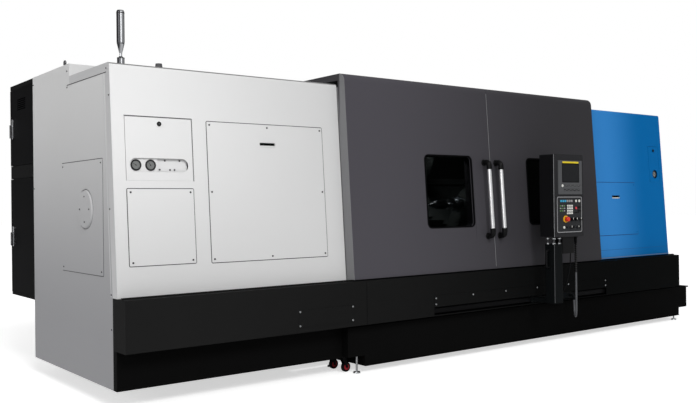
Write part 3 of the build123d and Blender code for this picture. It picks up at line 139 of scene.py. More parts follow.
def finish(name, colour, rough=0.5, metal=0.0, spread=0.06, patch=2.2, grain=FINE_GRAIN, bump=0.06,
           shifts=(), coat=0.0, brushed=None, dust=0.0, gleam=0.35):
    """A painted, cast, moulded or ground finish: slow patches of tone, a fine grain and its bump.

    Each shift blends towards a tone between two places on an axis of the part's frame; most shifts here paint
    light and shade.
    """
    material, tree, shader, add = tree_of(name)
    place = add("ShaderNodeTexCoord").outputs["Object"]
    slow = add("ShaderNodeTexNoise", {"Vector": place, "Scale": patch, "Detail": 4.0})
    stretched = place
    if brushed:
        stretched = add("ShaderNodeMapping", {"Vector": place, "Scale": brushed}).outputs["Vector"]
    fine = add("ShaderNodeTexNoise", {"Vector": stretched, "Scale": grain, "Detail": 3.0})
    base = rgb(colour)
    dark = tuple(c * (1 - spread) for c in base[:3]) + (1,)
    light = tuple(min(1.0, c * (1 + spread)) for c in base[:3]) + (1,)
    tone = add("ShaderNodeMix", {"Factor": slow.outputs["Fac"]}, data_type="RGBA")
    tone.inputs["A"].default_value = dark
    tone.inputs["B"].default_value = light
    result = tone.outputs["Result"]
    for axis, start, end, other in shifts:
        split = add("ShaderNodeSeparateXYZ", {"Vector": place})
        ramp = add("ShaderNodeMapRange", {"Value": split.outputs[axis], "From Min": start, "From Max": end},
                   interpolation_type="SMOOTHSTEP")
        blend = add("ShaderNodeMix", {"Factor": ramp.outputs["Result"]}, data_type="RGBA")
        blend.inputs["B"].default_value = rgb(other)
        tree.links.new(result, blend.inputs["A"])
        result = blend.outputs["Result"]
    if dust:
        speck = add("ShaderNodeTexNoise", {"Vector": place, "Scale": 9.0, "Detail": 8.0, "Roughness": 0.7})
        mask = add("ShaderNodeMapRange", {"Value": speck.outputs["Fac"], "From Min": 0.5, "From Max": 0.8,
                                          "To Max": dust})
        blend = add("ShaderNodeMix", {"Factor": mask.outputs["Result"]}, data_type="RGBA")
        blend.inputs["B"].default_value = rgb(DUST_TONE)
        tree.links.new(result, blend.inputs["A"])
        result = blend.outputs["Result"]
    tree.links.new(result, shader.inputs["Base Color"])
    gloss = add("ShaderNodeMapRange", {"Value": slow.outputs["Fac"], "To Min": rough - 0.05,
                                       "To Max": rough + 0.05})
    tree.links.new(gloss.outputs["Result"], shader.inputs["Roughness"])
    relief = add("ShaderNodeBump", {"Height": fine.outputs["Fac"], "Strength": bump, "Distance": GRAIN_DEPTH})
    tree.links.new(relief.outputs["Normal"], shader.inputs["Normal"])
    shader.inputs["Metallic"].default_value = metal
    shader.inputs["Coat Weight"].default_value = coat
    shader.inputs["Specular IOR Level"].default_value = gleam
    return material


finish("front_grey", (246, 246, 246), 0.45, spread=0.02, patch=0.7, bump=0.04, gleam=0.2, shifts=(
    ("X", -3.4, -1.2, (214, 214, 214)),  # painted shade, darker along the cover
    ("Z", 1.9, 0.6, (216, 216, 216)),  # painted shade, darker down the cover
    ("Z", 2.1785, 2.1800, (132, 132, 132)),  # painted shadow along the upper edge
    ("Z", 2.1880, 2.1890, (222, 222, 222)),  # painted light on the roof, above the shadow
    ("Z", 2.1930, 2.1940, (84, 84, 86)),  # cap on the roof
    ("X", -3.1915, -3.1945, (204, 204, 205)),  # painted shade on the left edge
))
# Painted shade: the side darker towards the bottom
finish("side_grey", (224, 224, 224), 0.45, spread=0.02, patch=0.7, bump=0.04, gleam=0.15,
       shifts=(("Z", 2.3, 0.4, (158, 158, 161)),))
# Painted shade and light: the doors darker towards the right, their left flank lit light grey, and their part
# over the roof held at one tone
finish("door_grey", (78, 76, 82), 0.4, spread=0.04, patch=0.8, bump=0.06, gleam=0.1,
       shifts=(("X", -1.4, 1.3, (53, 52, 55)), ("X", -1.3995, -1.4000, (126, 126, 128)),
               ("Y", -0.86, -0.84, (66, 65, 68))))
# Painted shade: the blue darker towards the right, and darkest on its right end
finish("blue", (54, 135, 207), 0.4, spread=0.03, patch=0.6, bump=0.04, gleam=0.04,
       shifts=(("X", 1.9, 2.60, (0, 103, 170)), ("X", 3.1885, 3.1905, (6, 52, 100))))
# Painted shade: the band darker towards the right, and the skirt below it darker, in its shadow
finish("band_black", (31, 31, 31), 0.5, spread=0.1, patch=1.6, bump=0.08, gleam=0.02,
       shifts=(("X", -3.0, 2.2, (5, 6, 6)), ("Z", 0.3705, 0.3695, (12, 12, 12))))
# Painted shade: the tank darker towards the right
finish("tank_black", (12, 12, 12), 0.5, spread=0.12, patch=1.8, bump=0.1, gleam=0.02,
       shifts=(("X", -1.0, 2.2, (3, 3, 3)),))
finish("cabinet_black", (9, 9, 10), 0.45, spread=0.1, patch=1.4, bump=0.08, gleam=0.02)
# Painted shade: the box's left side darker than its front
finish("pendant_grey", (44, 44, 46), 0.42, spread=0.06, patch=3.0, bump=0.1, gleam=0.05,
       shifts=(("X", 0.5870, 0.5855, (20, 20, 22)),))
finish("post_grey", (15, 17, 18), 0.42, spread=0.08, patch=3.0, bump=0.1, gleam=0.04)
finish("console_grey", (46, 47, 49), 0.42, spread=0.05, patch=9.0, bump=0.08, gleam=0.1)
finish("console_edge", (142, 142, 144), 0.4, spread=0.05, patch=9.0)
finish("display_grey", (84, 85, 87), 0.45, spread=0.05, patch=9.0, gleam=0.1)
finish("screen", (34, 35, 37), 0.16, spread=0.1, patch=6.0, grain=60.0, bump=0.0, gleam=0.1)
finish("black_plastic", (14, 14, 15), 0.42, spread=0.15, patch=14.0, bump=0.12, gleam=0.12)
finish("black_rubber", (16, 16, 17), 0.62, spread=0.15, patch=14.0, bump=0.25, gleam=0.1)
finish("gasket", (7, 7, 8), 0.55, spread=0.15, patch=14.0, bump=0.2, gleam=0.03)
finish("yellow", (232, 205, 40), 0.4, spread=0.05, patch=20.0)
finish("stop_yellow", (245, 180, 40), 0.35, spread=0.05, patch=20.0)
finish("red", (222, 48, 30), 0.28, spread=0.06, patch=20.0, coat=0.3)
finish("rose", (206, 62, 74), 0.3, spread=0.06, patch=20.0)
finish("white_key", (226, 226, 220), 0.35, spread=0.04, patch=30.0)
finish("blue_key", (60, 165, 205), 0.4, spread=0.06, patch=30.0)
finish("grey_key", (150, 150, 152), 0.42, spread=0.05, patch=30.0)
finish("green_key", (88, 128, 72), 0.42, spread=0.06, patch=30.0)
finish("chrome", (226, 227, 230), 0.14, metal=1.0, spread=0.03, patch=12.0, bump=0.01)
finish("zinc", (176, 178, 180), 0.34, metal=1.0, spread=0.12, patch=16.0, bump=0.1)
finish("dark_screw", (70, 70, 72), 0.38, metal=0.8, spread=0.1, patch=60.0)
finish("stainless", (250, 250, 252), 0.3, metal=0.75, spread=0.05, patch=6.0, grain=90.0, bump=0.1,
       brushed=(1.0, 1.0, 14.0))
finish("rail_steel", (16, 16, 17), 0.4, metal=0.2, spread=0.1, patch=8.0, gleam=0.03)
finish("dark_steel", (112, 112, 114), 0.3, metal=0.9, spread=0.1, patch=16.0)
finish("caster_black", (14, 14, 15), 0.45, spread=0.1, patch=16.0, gleam=0.1)
# Tones of the light strips that paint highlights on edges and seams
finish("highlight_strip", (132, 133, 135), 0.4, spread=0.05, patch=9.0)
finish("dim_highlight_strip", (76, 77, 79), 0.4, spread=0.05, patch=9.0)
finish("cord_grey", (84, 85, 88), 0.5, spread=0.06, patch=14.0, bump=0.1,
       shifts=(("Z", 0.639, 0.641, (26, 26, 27)),))
finish("ground_steel", (196, 198, 202), 0.24, metal=1.0, spread=0.06, patch=7.0, grain=120.0, bump=0.1,
       brushed=(10.0, 1.0, 1.0))
finish("cast_paint", (96, 100, 98), 0.5, spread=0.1, patch=3.0, grain=160.0, bump=0.25, dust=0.12)
finish("bed_cast", (88, 92, 92), 0.55, spread=0.12, patch=2.4, grain=150.0, bump=0.3, dust=0.12)
finish("liner_steel", (66, 69, 66), 0.42, metal=0.3, spread=0.16, patch=2.0, grain=200.0, bump=0.1)
finish("galvanised", (168, 172, 176), 0.42, metal=0.8, spread=0.2, patch=26.0, grain=60.0, bump=0.06)
finish("wheel_red", (150, 24, 34), 0.4, spread=0.1, patch=20.0, bump=0.1)
finish("dial", (126, 128, 127), 0.4, spread=0.05, patch=30.0)
finish("bezel", (44, 44, 46), 0.32, metal=0.5, spread=0.1, patch=30.0)
# Painted reflection: dark stripes down both sides of the chrome body
finish("tower_body", (206, 208, 211), 0.16, metal=0.85, spread=0.05, patch=12.0, bump=0.02,
       shifts=(("X", -3.040, -3.054, (66, 66, 69)), ("X", -3.030, -3.018, (72, 72, 75))))
finish("seam_grey", (72, 72, 74), 0.5, spread=0.1, patch=20.0)
finish("seam_blue", (8, 60, 116), 0.5, spread=0.1, patch=20.0)
# Painted light: the lit grey of the door's flank, on the fixed return and the door's wiper
finish("lit_flank_grey", (122, 122, 124), 0.5, spread=0.06, patch=6.0, gleam=0.1)


def glass(name, tint, index):
    """Thin tinted glass with a clean reflection that grows at a shallow angle."""
    material, tree, shader, add = tree_of(name)
    clear = add("ShaderNodeBsdfTransparent", {"Color": tint})
    shine = add("ShaderNodeBsdfGlossy", {"Roughness": 0.03})
    edge = add("ShaderNodeFresnel", {"IOR": index})
    mixed = add("ShaderNodeMixShader", {0: edge.outputs["Fac"]})
    tree.links.new(clear.outputs["BSDF"], mixed.inputs[1])
    tree.links.new(shine.outputs["BSDF"], mixed.inputs[2])
    output = tree.nodes["Material Output"]
    tree.links.new(mixed.outputs["Shader"], output.inputs["Surface"])
    return material


def handled(name, paint, edge):
    """Dark paint, with bright metal left of an edge on x, where the lever stands proud."""
    material, tree, shader, add = tree_of(name)
    place = add("ShaderNodeTexCoord").outputs["Object"]
    split = add("ShaderNodeSeparateXYZ", {"Vector": place})
    proud = add("ShaderNodeMath", {0: split.outputs["X"], 1: edge}, operation="LESS_THAN")
    slow = add("ShaderNodeTexNoise", {"Vector": place, "Scale": 3.0, "Detail": 4.0})
    tone = add("ShaderNodeMix", {"Factor": slow.outputs["Fac"]}, data_type="RGBA")
    tone.inputs["A"].default_value = tuple(c * 0.9 for c in rgb(paint)[:3]) + (1,)
    tone.inputs["B"].default_value = tuple(c * 1.1 for c in rgb(paint)[:3]) + (1,)
    blend = add("ShaderNodeMix", {"Factor": proud.outputs["Value"]}, data_type="RGBA")
    tree.links.new(tone.outputs["Result"], blend.inputs["A"])
    blend.inputs["B"].default_value = rgb(BRIGHT_METAL)
    tree.links.new(blend.outputs["Result"], shader.inputs["Base Color"])
    tree.links.new(proud.outputs["Value"], shader.inputs["Metallic"])
    gloss = add("ShaderNodeMapRange", {"Value": proud.outputs["Value"], "To Min": 0.45, "To Max": 0.22})
    tree.links.new(gloss.outputs["Result"], shader.inputs["Roughness"])
    fine = add("ShaderNodeTexNoise", {"Vector": place, "Scale": FINE_GRAIN})
    relief = add("ShaderNodeBump", {"Height": fine.outputs["Fac"], "Strength": 0.06, "Distance": GRAIN_DEPTH})
    tree.links.new(relief.outputs["Normal"], shader.inputs["Normal"])
    shader.inputs["Specular IOR Level"].default_value = 0.01
    return material


handled("cabinet_door", (10, 10, 12), -3.1955)
glass("pane", (0.26, 0.27, 0.27, 1), 1.04)

NODE_FINISH = {
    "bed": "bed_cast", "levelling_feet": "zinc", "headstock": "cast_paint", "headstock_cover": "front_grey",
    "left_side_cover": "side_grey", "side_access_panel": "side_grey", "headstock_panel": "front_grey",
    "air_unit_panel": "front_grey", "pressure_gauges": "bezel", "rear_housing": "side_grey",
    "chamber_liner": "liner_steel", "tailstock_cover": "blue", "tailstock_panel": "blue",
    "lower_band": "band_black", "rail_strip": "band_black", "pendant_rail": "rail_steel",
    "coolant_tank": "tank_black", "cabinet_shell": "cabinet_black", "cabinet_backplate": "galvanised",
    "signal_tower": "tower_body", "eye_bolts": "dark_steel", "left_door": "door_grey", "right_door": "door_grey",
    "left_window": "pane", "right_window": "pane", "left_door_handle": "stainless",
    "right_door_handle": "stainless", "spindle": "ground_steel", "chuck": "ground_steel",
    "chuck_jaw_1": "ground_steel", "chuck_jaw_2": "ground_steel", "chuck_jaw_3": "ground_steel",
    "carriage": "cast_paint", "cross_slide": "cast_paint", "turret_disc": "ground_steel",
    "tailstock": "cast_paint", "quill": "ground_steel", "live_centre": "ground_steel",
    "pendant_post": "post_grey", "pendant_studs": "dark_screw", "pendant_box": "pendant_grey",
    "display_unit": "display_grey", "control_panel": "console_grey", "e_stop_button": "red",
    "start_button": "white_key", "stop_button": "rose", "feed_knob": "black_plastic",
    "spindle_knob": "black_plastic", "grab_handles": "black_plastic", "junction_box": "black_plastic",
    "upper_cabinet_door": "cabinet_door", "lower_cabinet_door": "cabinet_door",
    "gauge_hatch": "front_grey", "valve_hatch": "blue", "caster_fork_front": "caster_black",
    "caster_wheel_front": "caster_black", "caster_fork_rear": "caster_black", "caster_wheel_rear": "caster_black",
    "pendant_conduit": "cord_grey", "pendant_cable": "black_rubber",
}
for node, finish_name in NODE_FINISH.items():
    data = nodes[node].data
    data.materials.clear()
    data.materials.append(made[finish_name])

# ---------------------------------------------------------------- shapes


def placed(origin, across, above):
    """Matrix of a plane: local x across, local y above, local z out of it."""
    across, above = Vector(across).normalized(), Vector(above).normalized()
    out = across.cross(above)
    return Matrix((
        (across.x, above.x, out.x, origin.x),
        (across.y, above.y, out.y, origin.y),
        (across.z, above.z, out.z, origin.z),
        (0, 0, 0, 1),
    ))


X, Y, Z = Vector((1, 0, 0)), Vector((0, 1, 0)), Vector((0, 0, 1))
SLOPE = Vector((0, math.sin(LEAN), math.cos(LEAN)))


def on_cover(x, z, proud=0.0):
    """Plane on the leaning covers, or proud of them, at a distance along and a height."""
    y = COVER_FOOT + (z - BAND_TOP) * math.tan(LEAN) - proud / math.cos(LEAN)
    return placed(at(x, y, z), X, SLOPE)


def on_front(x, y, z):
    """Upright plane that faces the front."""
    return placed(at(x, y, z), X, Z)


def on_side(x, y, z):
    """Upright plane that faces the left end."""
    return placed(at(x, y, z), -Y, Z)


def on_top(x, y, z):
    """Level plane that faces up."""
    return placed(at(x, y, z), X, Y)


def circle(radius, count):
    """Outline of a circle."""
    return [(radius * math.cos(2 * math.pi * i / count), radius * math.sin(2 * math.pi * i / count))
            for i in range(count)]


class Shape:
    """Collects solids in one mesh and hands it over as a piece."""

    def __init__(self, name, body, finish_name):
        self.name, self.body, self.finish_name = name, body, finish_name
        self.mesh = bmesh.new()

    def ring(self, plane, outline, height):
        return [self.mesh.verts.new(plane @ Vector((x, y, height))) for x, y in outline]

    def skin(self, rings, caps=(True, True)):
        for low, high in zip(rings, rings[1:]):
            count = len(low)
            for i in range(count):
                j = (i + 1) % count
                self.mesh.faces.new((low[i], low[j], high[j], high[i]))
        if caps[0]:
            self.mesh.faces.new(list(reversed(rings[0])))
        if caps[1]:
            self.mesh.faces.new(rings[-1])

    def turned(self, plane, profile, count=20):
        """A turned solid from (radius, height) pairs, closed at both ends."""
        self.skin([self.ring(plane, circle(radius, count), height) for radius, height in profile])
        return self

    def slab(self, plane, outline, low, high, chamfer=0.0):
        """An outline raised off a plane, with its top edge chamfered."""
        rings = [self.ring(plane, outline, low)]
        if chamfer:
            rings.append(self.ring(plane, outline, high - chamfer))
            rings.append(self.ring(plane, shrunk(outline, chamfer), high))
        else:
            rings.append(self.ring(plane, outline, high))
        self.skin(rings)
        return self

    def frame(self, plane, outer, inner, low, high):
        """A flat frame between two outlines with as many points."""
        rings = [self.ring(plane, outer, low), self.ring(plane, outer, high),
                 self.ring(plane, inner, high), self.ring(plane, inner, low)]
        self.skin(rings + [rings[0]], (False, False))
        return self

    def tube(self, line, radius, count=10):
        """A round bar along a line of points."""
        rings = []
        up_hint = Z
        for i, here in enumerate(line):
            before = line[max(i - 1, 0)]
            after = line[min(i + 1, len(line) - 1)]
            along = (after - before).normalized()
            if abs(along.dot(up_hint)) > 0.95:
                up_hint = X if abs(along.dot(X)) < 0.9 else Y
            side = along.cross(up_hint).normalized()
            high = side.cross(along).normalized()
            up_hint = high
            rings.append([self.mesh.verts.new(here + (side * math.cos(2 * math.pi * k / count)
                                                      + high * math.sin(2 * math.pi * k / count)) * radius)
                          for k in range(count)])
        self.skin(rings)
        return self

    def done(self, smooth=True, slot=None):
        bmesh.ops.recalc_face_normals(self.mesh, faces=self.mesh.faces)
        data = bpy.data.meshes.new(self.name)
        self.mesh.to_mesh(data)
        self.mesh.free()
        piece = bpy.data.objects.new(self.name, data)
        bpy.context.scene.collection.objects.link(piece)
        data.materials.append(made[self.finish_name])
        if smooth:
            data.shade_smooth()
            data.set_sharp_from_angle(angle=math.radians(35))
        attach(piece, self.body)
        return piece


def shrunk(outline, amount):
    """An outline drawn in towards its middle by an amount on every side."""
    xs, ys = [p[0] for p in outline], [p[1] for p in outline]
    cx, cy = (min(xs) + max(xs)) / 2, (min(ys) + max(ys)) / 2
    half_x, half_y = (max(xs) - min(xs)) / 2, (max(ys) - min(ys)) / 2
    return [(cx + (x - cx) * (half_x - amount) / half_x, cy + (y - cy) * (half_y - amount) / half_y)
            for x, y in outline]


def rounded(width, height, corner=0.002, steps=4, cx=0.0, cy=0.0):
    """Outline of a rectangle with round corners."""
    points = []
    for sx, sy, start in ((1, 1, 0), (-1, 1, 90), (-1, -1, 180), (1, -1, 270)):
        for k in range(steps + 1):
            a = math.radians(start + 90 * k / steps)
            points.append((cx + sx * (width / 2 - corner) + corner * math.cos(a),
                           cy + sy * (height / 2 - corner) + corner * math.sin(a)))
    return points


def screws(name, body, planes, radius=0.007, proud=0.004, finish_name="dark_screw"):
    """Button-head screws with a socket, one on each plane."""
    heads = Shape(name, body, finish_name)
    for plane in planes:
        heads.turned(plane, [(radius, 0), (radius, proud * 0.35), (radius * 0.8, proud * 0.85),
                             (radius * 0.5, proud), (radius * 0.42, proud), (radius * 0.42, proud * 0.3)], 12)
    return heads.done()


# ---------------------------------------------------------------- cords
def cord(name, node, finish_name, route, diameter):
    """A cord along the same route as its solid."""
    data = bpy.data.curves.new(name, "CURVE")
    data.dimensions = "3D"
    spline = data.splines.new("NURBS")
    spline.points.add(len(route) - 1)
    for point, (x, y, z) in zip(spline.points, route):
        point.co = (*at(x / 1000, y / 1000, z / 1000), 1)
    spline.order_u = 3
    spline.use_endpoint_u = True
    spline.resolution_u = 12
    data.bevel_depth = diameter / 2
    data.bevel_resolution = 4
    data.use_fill_caps = True
    piece = bpy.data.objects.new(name, data)
    bpy.context.scene.collection.objects.link(piece)
    data.materials.append(made[finish_name])
    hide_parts(node)
    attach(piece, "pendant")
    return piece


CONDUIT = [
    (4168, -306, 925), (4168, -306, 800), (4166, -308, 665), (4164, -309, 530), (4165, -308, 410),
    (4168, -306, 291), (4210, -267, 233), (4270, -211, 233), (4312, -172, 291), (4312, -172, 372),
]
CABLE = [
    (4104, -300, 925), (4104, -300, 800), (4098, -292, 660), (4088, -262, 540), (4082, -222, 455),
    (4080, -178, 412), (4080, -127.3, 412),
]
conduit = cord("conduit", "pendant_conduit", "cord_grey", CONDUIT, 0.018)
cord("thin_cable", "pendant_cable", "black_rubber", CABLE, 0.010)


def line_along(curve):
    """Points along a curve's own line."""
    copy = curve.copy()
    copy.data = curve.data.copy()
    copy.data.bevel_depth = 0
    bpy.context.scene.collection.objects.link(copy)
    bpy.context.view_layer.update()
    graph = bpy.context.evaluated_depsgraph_get()
    mesh = bpy.data.meshes.new_from_object(copy.evaluated_get(graph))
    points = [copy.matrix_world @ v.co for v in mesh.vertices]
    bpy.data.objects.remove(copy)
    return points


# Spiral wrap on the conduit's upper part
path = line_along(conduit)
WRAP_PITCH = 0.020
WRAP_BOTTOM = 0.640
WRAP_RADIUS = 0.0105
WRAP_WIRE = 0.0027
STEPS_PER_TURN = 14
upper = [p for p in path if p.z > WRAP_BOTTOM]
wrap = Shape("conduit_spiral_wrap", "pendant", "gasket")
helix = []
travelled = 0.0
for here, after in zip(upper, upper[1:]):
    run = (after - here).length
    parts = max(1, round(run / (WRAP_PITCH / STEPS_PER_TURN)))
    for k in range(parts):
        along = travelled + run * k / parts
        turn = 2 * math.pi * along / WRAP_PITCH
        centre = here.lerp(after, k / parts)
        helix.append(centre + Vector((math.cos(turn), math.sin(turn), 0)) * WRAP_RADIUS)
    travelled += run
wrap.tube(helix, WRAP_WIRE, 6).done()
sleeves = Shape("cord_sleeves", "pendant", "black_rubber")
for (x, y, z), radius in ((CONDUIT[0], 0.009), (CABLE[0], 0.005)):
    plane = placed(at(x / 1000, y / 1000, z / 1000), X, -Y)
    sleeves.turned(plane, [(radius * 1.5, 0), (radius * 1.45, 0.008), (radius * 1.15, 0.026),
                           (radius * 1.02, 0.028)])
sleeves.done()

# ---------------------------------------------------------------- headstock cover
PANEL_SCREW = 0.0065
# Panels on the covers: left, right, bottom and top
AIR_PANEL = (0.090, 0.552, 0.897, 1.386)
BIG_PANEL = (0.670, 1.628, 0.892, 1.843)
BLUE_PANEL = (4.905, 5.600, 0.936, 1.461)
HATCH_LOCK = (0.3225, 1.810)
screws("air_panel_screws", "machine", [
    on_cover(x, z, PANEL_PROUD) for x in (0.112, 0.530) for z in (0.918, 1.365)], PANEL_SCREW)
screws("big_panel_screws", "machine", [
    on_cover(x, z, PANEL_PROUD) for x, z in (
        (0.690, 0.915), (0.690, 1.367), (0.690, 1.822), (1.149, 0.915), (1.149, 1.822),
        (1.608, 0.915), (1.608, 1.367), (1.608, 1.822))], PANEL_SCREW)


SEAM_CORNER = 0.006
SEAM_WIDTH = 0.0052
LINE_PROUD = 0.0006


def seam(name, plane, width, height, finish_name):
    """The thin shadow line round a panel."""
    line = Shape(name, "machine", finish_name)
    outer = rounded(width + 2 * SEAM_WIDTH, height + 2 * SEAM_WIDTH, SEAM_CORNER + SEAM_WIDTH)
    line.frame(plane, outer, rounded(width, height, SEAM_CORNER), SUNK, LINE_PROUD)
    return line.done()


def cover_seam(name, panel, finish_name):
    """The shadow line round a panel on the leaning covers."""
    x0, x1, z0, z1 = panel
    middle = on_cover((x0 + x1) / 2, (z0 + z1) / 2)
    return seam(name, middle, x1 - x0, (z1 - z0) / math.cos(LEAN), finish_name)


cover_seam("air_panel_seam", AIR_PANEL, "seam_grey")
cover_seam("big_panel_seam", BIG_PANEL, "seam_grey")
cover_seam("blue_panel_seam", BLUE_PANEL, "seam_blue")
gap_lines = Shape("gauge_hatch_gap", "machine", "seam_grey")
gap_lines.slab(on_cover(0.3225, 1.8550, 0), rounded(0.476, 0.0045, 0.001, 2), SUNK, LINE_PROUD)
gap_lines.slab(on_cover(0.5602, 1.6450, 0), rounded(0.0036, 0.418, 0.001, 2), SUNK, LINE_PROUD)
gap_lines.done()
# Fixed return between the headstock cover and the door, and the door's lip above it, both in painted light: the
# lit grey of the door's flank
FLANK_MIDDLE = 1.445
FLANK_HEIGHT = 1.44
cover_return = Shape("cover_return", "machine", "lit_flank_grey")
cover_return.slab(on_cover(1.8095, FLANK_MIDDLE, -0.0110), rounded(0.038, FLANK_HEIGHT, 0.002, 2),
                  0, 0.0095, 0.001)
cover_return.done()
wiper = Shape("left_door_wiper", "left_door", "lit_flank_grey")
wiper.slab(on_cover(1.7972, FLANK_MIDDLE, 0.0040), rounded(0.0060, FLANK_HEIGHT, 0.001, 2), 0, 0.0150, 0.0005)
wiper.done()
# Painted highlight: a light line along the foot of the blue cover
cover_highlight = Shape("blue_cover_foot_highlight", "machine", "highlight_strip")
cover_highlight.slab(on_cover(5.470, 0.7135, 0.0004), rounded(1.36, 0.0055, 0.001, 2), SUNK, 0.0008)
cover_highlight.done()
# Painted shadow in the recessed pulls, and their lip; the blue cover's lip is a painted highlight in white
PULL_FLOOR = -0.0215
for number, (px, pz, lip) in enumerate(((1.149, 1.700, "front_grey"), (5.259, 1.316, "white_key"))):
    shade = Shape(f"pull_shade_{number + 1}", "machine", "gasket")
    shade.slab(on_cover(px, pz + 0.0045, PULL_FLOOR), rounded(0.128, 0.021, 0.004), 0, 0.012)
    shade.done()
    low_lip = Shape(f"pull_lip_{number + 1}", "machine", lip)
    low_lip.slab(on_cover(px, pz - 0.0105, PULL_FLOOR), rounded(0.128, 0.009, 0.003), 0, 0.0222, 0.001)
    low_lip.done()

lock = Shape("hatch_lock", "gauge_hatch", "black_plastic")
lock.turned(on_cover(*HATCH_LOCK, 0.005), [(0.0155, 0), (0.0155, 0.003), (0.0135, 0.005), (0.009, 0.005),
                                           (0.0085, 0.003)], 24)
lock.done()
key = Shape("hatch_key_slot", "gauge_hatch", "chrome")
key.slab(on_cover(*HATCH_LOCK, 0.0075), rounded(0.003, 0.011, 0.001), 0, 0.001)
key.done()


def turned_by(plane, degrees):
    """The plane turned about its own middle."""
    return plane @ Matrix.Rotation(math.radians(degrees), 4, "Z")


# Gauges: bezel, dial, marks and pointer
GAUGE_DEPTH = -0.0118
DIAL_START, DIAL_STEP, DIAL_MARKS = 225, 27, 11
POINTER = [(-0.008, -0.0014), (0.024, -0.0004), (0.024, 0.0004), (-0.008, 0.0014)]
for index, (gx, gz, reading) in enumerate(((0.160, 1.540, 150), (0.260, 1.540, 120), (5.985, 1.556, 135))):
    plane = on_cover(gx, gz, GAUGE_DEPTH)
    rim = Shape(f"gauge_rim_{index + 1}", "machine", "bezel")
    rim.frame(plane, circle(0.036, 32), circle(0.0275, 32), 0.0029, 0.0048)
    rim.done()
    face = Shape(f"gauge_face_{index + 1}", "machine", "dial")
    face.turned(plane, [(0.0314, 0.0002), (0.0314, 0.0008)], 32).done()
    marks = Shape(f"gauge_marks_{index + 1}", "machine", "gasket")
    for tick in range(DIAL_MARKS):
        length = 0.006 if tick % 5 == 0 else 0.0038
        spot = turned_by(plane, DIAL_START - DIAL_STEP * tick)
        marks.slab(spot, rounded(length, 0.0011, 0.0003, 2, 0.0265), 0.0008, 0.0012)
    marks.slab(turned_by(plane, reading), POINTER, 0.0014, 0.0020)
    marks.turned(plane, [(0.0032, 0.0008), (0.0032, 0.0026)], 12).done()

# Plates inside the gauge slot, with their fittings
FITTING_DEPTH = -0.022
air_plate = Shape("air_plate", "machine", "front_grey")
air_plate.slab(on_cover(0.415, 1.540, FITTING_DEPTH), rounded(0.215, 0.092, 0.006), -0.003, 0, 0.001)
air_plate.slab(on_cover(0.208, 1.540, -0.0125), rounded(0.205, 0.092, 0.006), -0.002, 0, 0.001)
air_plate.done()
fittings = Shape("air_fittings", "machine", "dark_screw")
for fx, fz in ((0.327, 1.512), (0.365, 1.572), (0.400, 1.512), (0.432, 1.512), (0.470, 1.572)):
    fittings.turned(on_cover(fx, fz, FITTING_DEPTH), [(0.0055, 0), (0.0055, 0.004), (0.003, 0.005)], 12)
fittings.done()

# ---------------------------------------------------------------- left side
SIDE_SCREW = 0.0055
side_screws = [on_side(0, y, z) for y, z in (
    (0.085, 1.98), (0.085, 1.26), (0.075, 0.72), (0.075, 0.50), (1.592, 2.22), (1.592, 1.42),
    (0.84, 2.23), (0.84, 2.115), (0.125, 2.155))]
side_screws += [on_side(-PANEL_PROUD, y, z) for y in (0.225, 0.935) for z in (0.855, 1.56)]
screws("side_cover_screws", "machine", side_screws, SIDE_SCREW)
# Painted highlight: a light strip for the lit return along the leaning front corner
line = Shape("side_corner_highlight", "machine", "front_grey")
line.slab(on_side(0, 0, 0), [(-0.0730, 0.705), (-0.0815, 0.705), (-0.1785, 2.130), (-0.1700, 2.130)],
          0, 0.0015)
line.done()
top_seam = Shape("side_top_seam", "machine", "seam_grey")
top_seam.slab(on_side(SIDE_FACE, 0.485, 2.130), rounded(0.720, 0.0060, 0.001, 2), 0, 0.0008)
top_seam.done()
seam("side_panel_seam", on_side(0, 0.580, 1.207), 0.760, 0.754, "seam_grey")
SPINDLE_Y, SPINDLE_Z = 0.500, 1.260
SPINDLE_COVER_PROUD = 0.0118
SPINDLE_SCREW_REACH = 0.085
rim = Shape("spindle_cover_rim", "machine", "seam_grey")
rim.frame(on_side(SIDE_FACE, SPINDLE_Y, SPINDLE_Z), circle(0.1335, 48), circle(0.1305, 48), 0, 0.001)
rim.done()
screws("spindle_cover_screws", "machine", [
    on_side(-SPINDLE_COVER_PROUD, SPINDLE_Y + SPINDLE_SCREW_REACH * dy, SPINDLE_Z + SPINDLE_SCREW_REACH * dz)
    for dy, dz in ((0, 1), (0, -1), (1, 0), (-1, 0))], SIDE_SCREW)

# ---------------------------------------------------------------- blue cover
screws("blue_panel_screws", "machine", [
    on_cover(x, z, PANEL_PROUD) for x in (4.925, 5.580) for z in (0.957, 1.440)],
       PANEL_SCREW, finish_name="blue")
valve_lock = Shape("valve_hatch_lock", "valve_hatch", "black_plastic")
valve_lock.turned(on_cover(5.976, 1.806, 0.005), [(0.0135, -0.004), (0.0135, 0.002), (0.011, 0.0035),
                                                  (0.006, 0.0035), (0.0055, 0.002)], 20)
valve_lock.done()
crease = Shape("blue_crease", "machine", "seam_blue")
crease.slab(on_cover(5.475, 0.790, 0), rounded(1.306, 0.0022, 0.0008, 2), SUNK, LINE_PROUD)
crease.done()

# ---------------------------------------------------------------- lower band
STRIP_SCREW = 0.0075
screws("band_plate_screws", "machine", [
    on_front(x, STRIP_FRONT, z) for x in (1.285, 1.754) for z in (0.420, 0.520)],
       STRIP_SCREW, finish_name="zinc")
strip_x = (2.597, 3.02, 3.42, 3.83, 4.27, 4.833)
screws("rail_strip_screws", "machine", [on_front(x, STRIP_FRONT, 0.515) for x in strip_x]
       + [on_front(x, STRIP_FRONT, 0.467) for x in (strip_x[0], strip_x[-1])],
       STRIP_SCREW, finish_name="zinc")
band_seam = Shape("band_seam", "machine", "gasket")
band_seam.slab(on_front(1.890, BAND_FRONT, 0.5365), rounded(0.003, 0.325, 0.001, 2), SUNK, 0.0008)
band_seam.done()

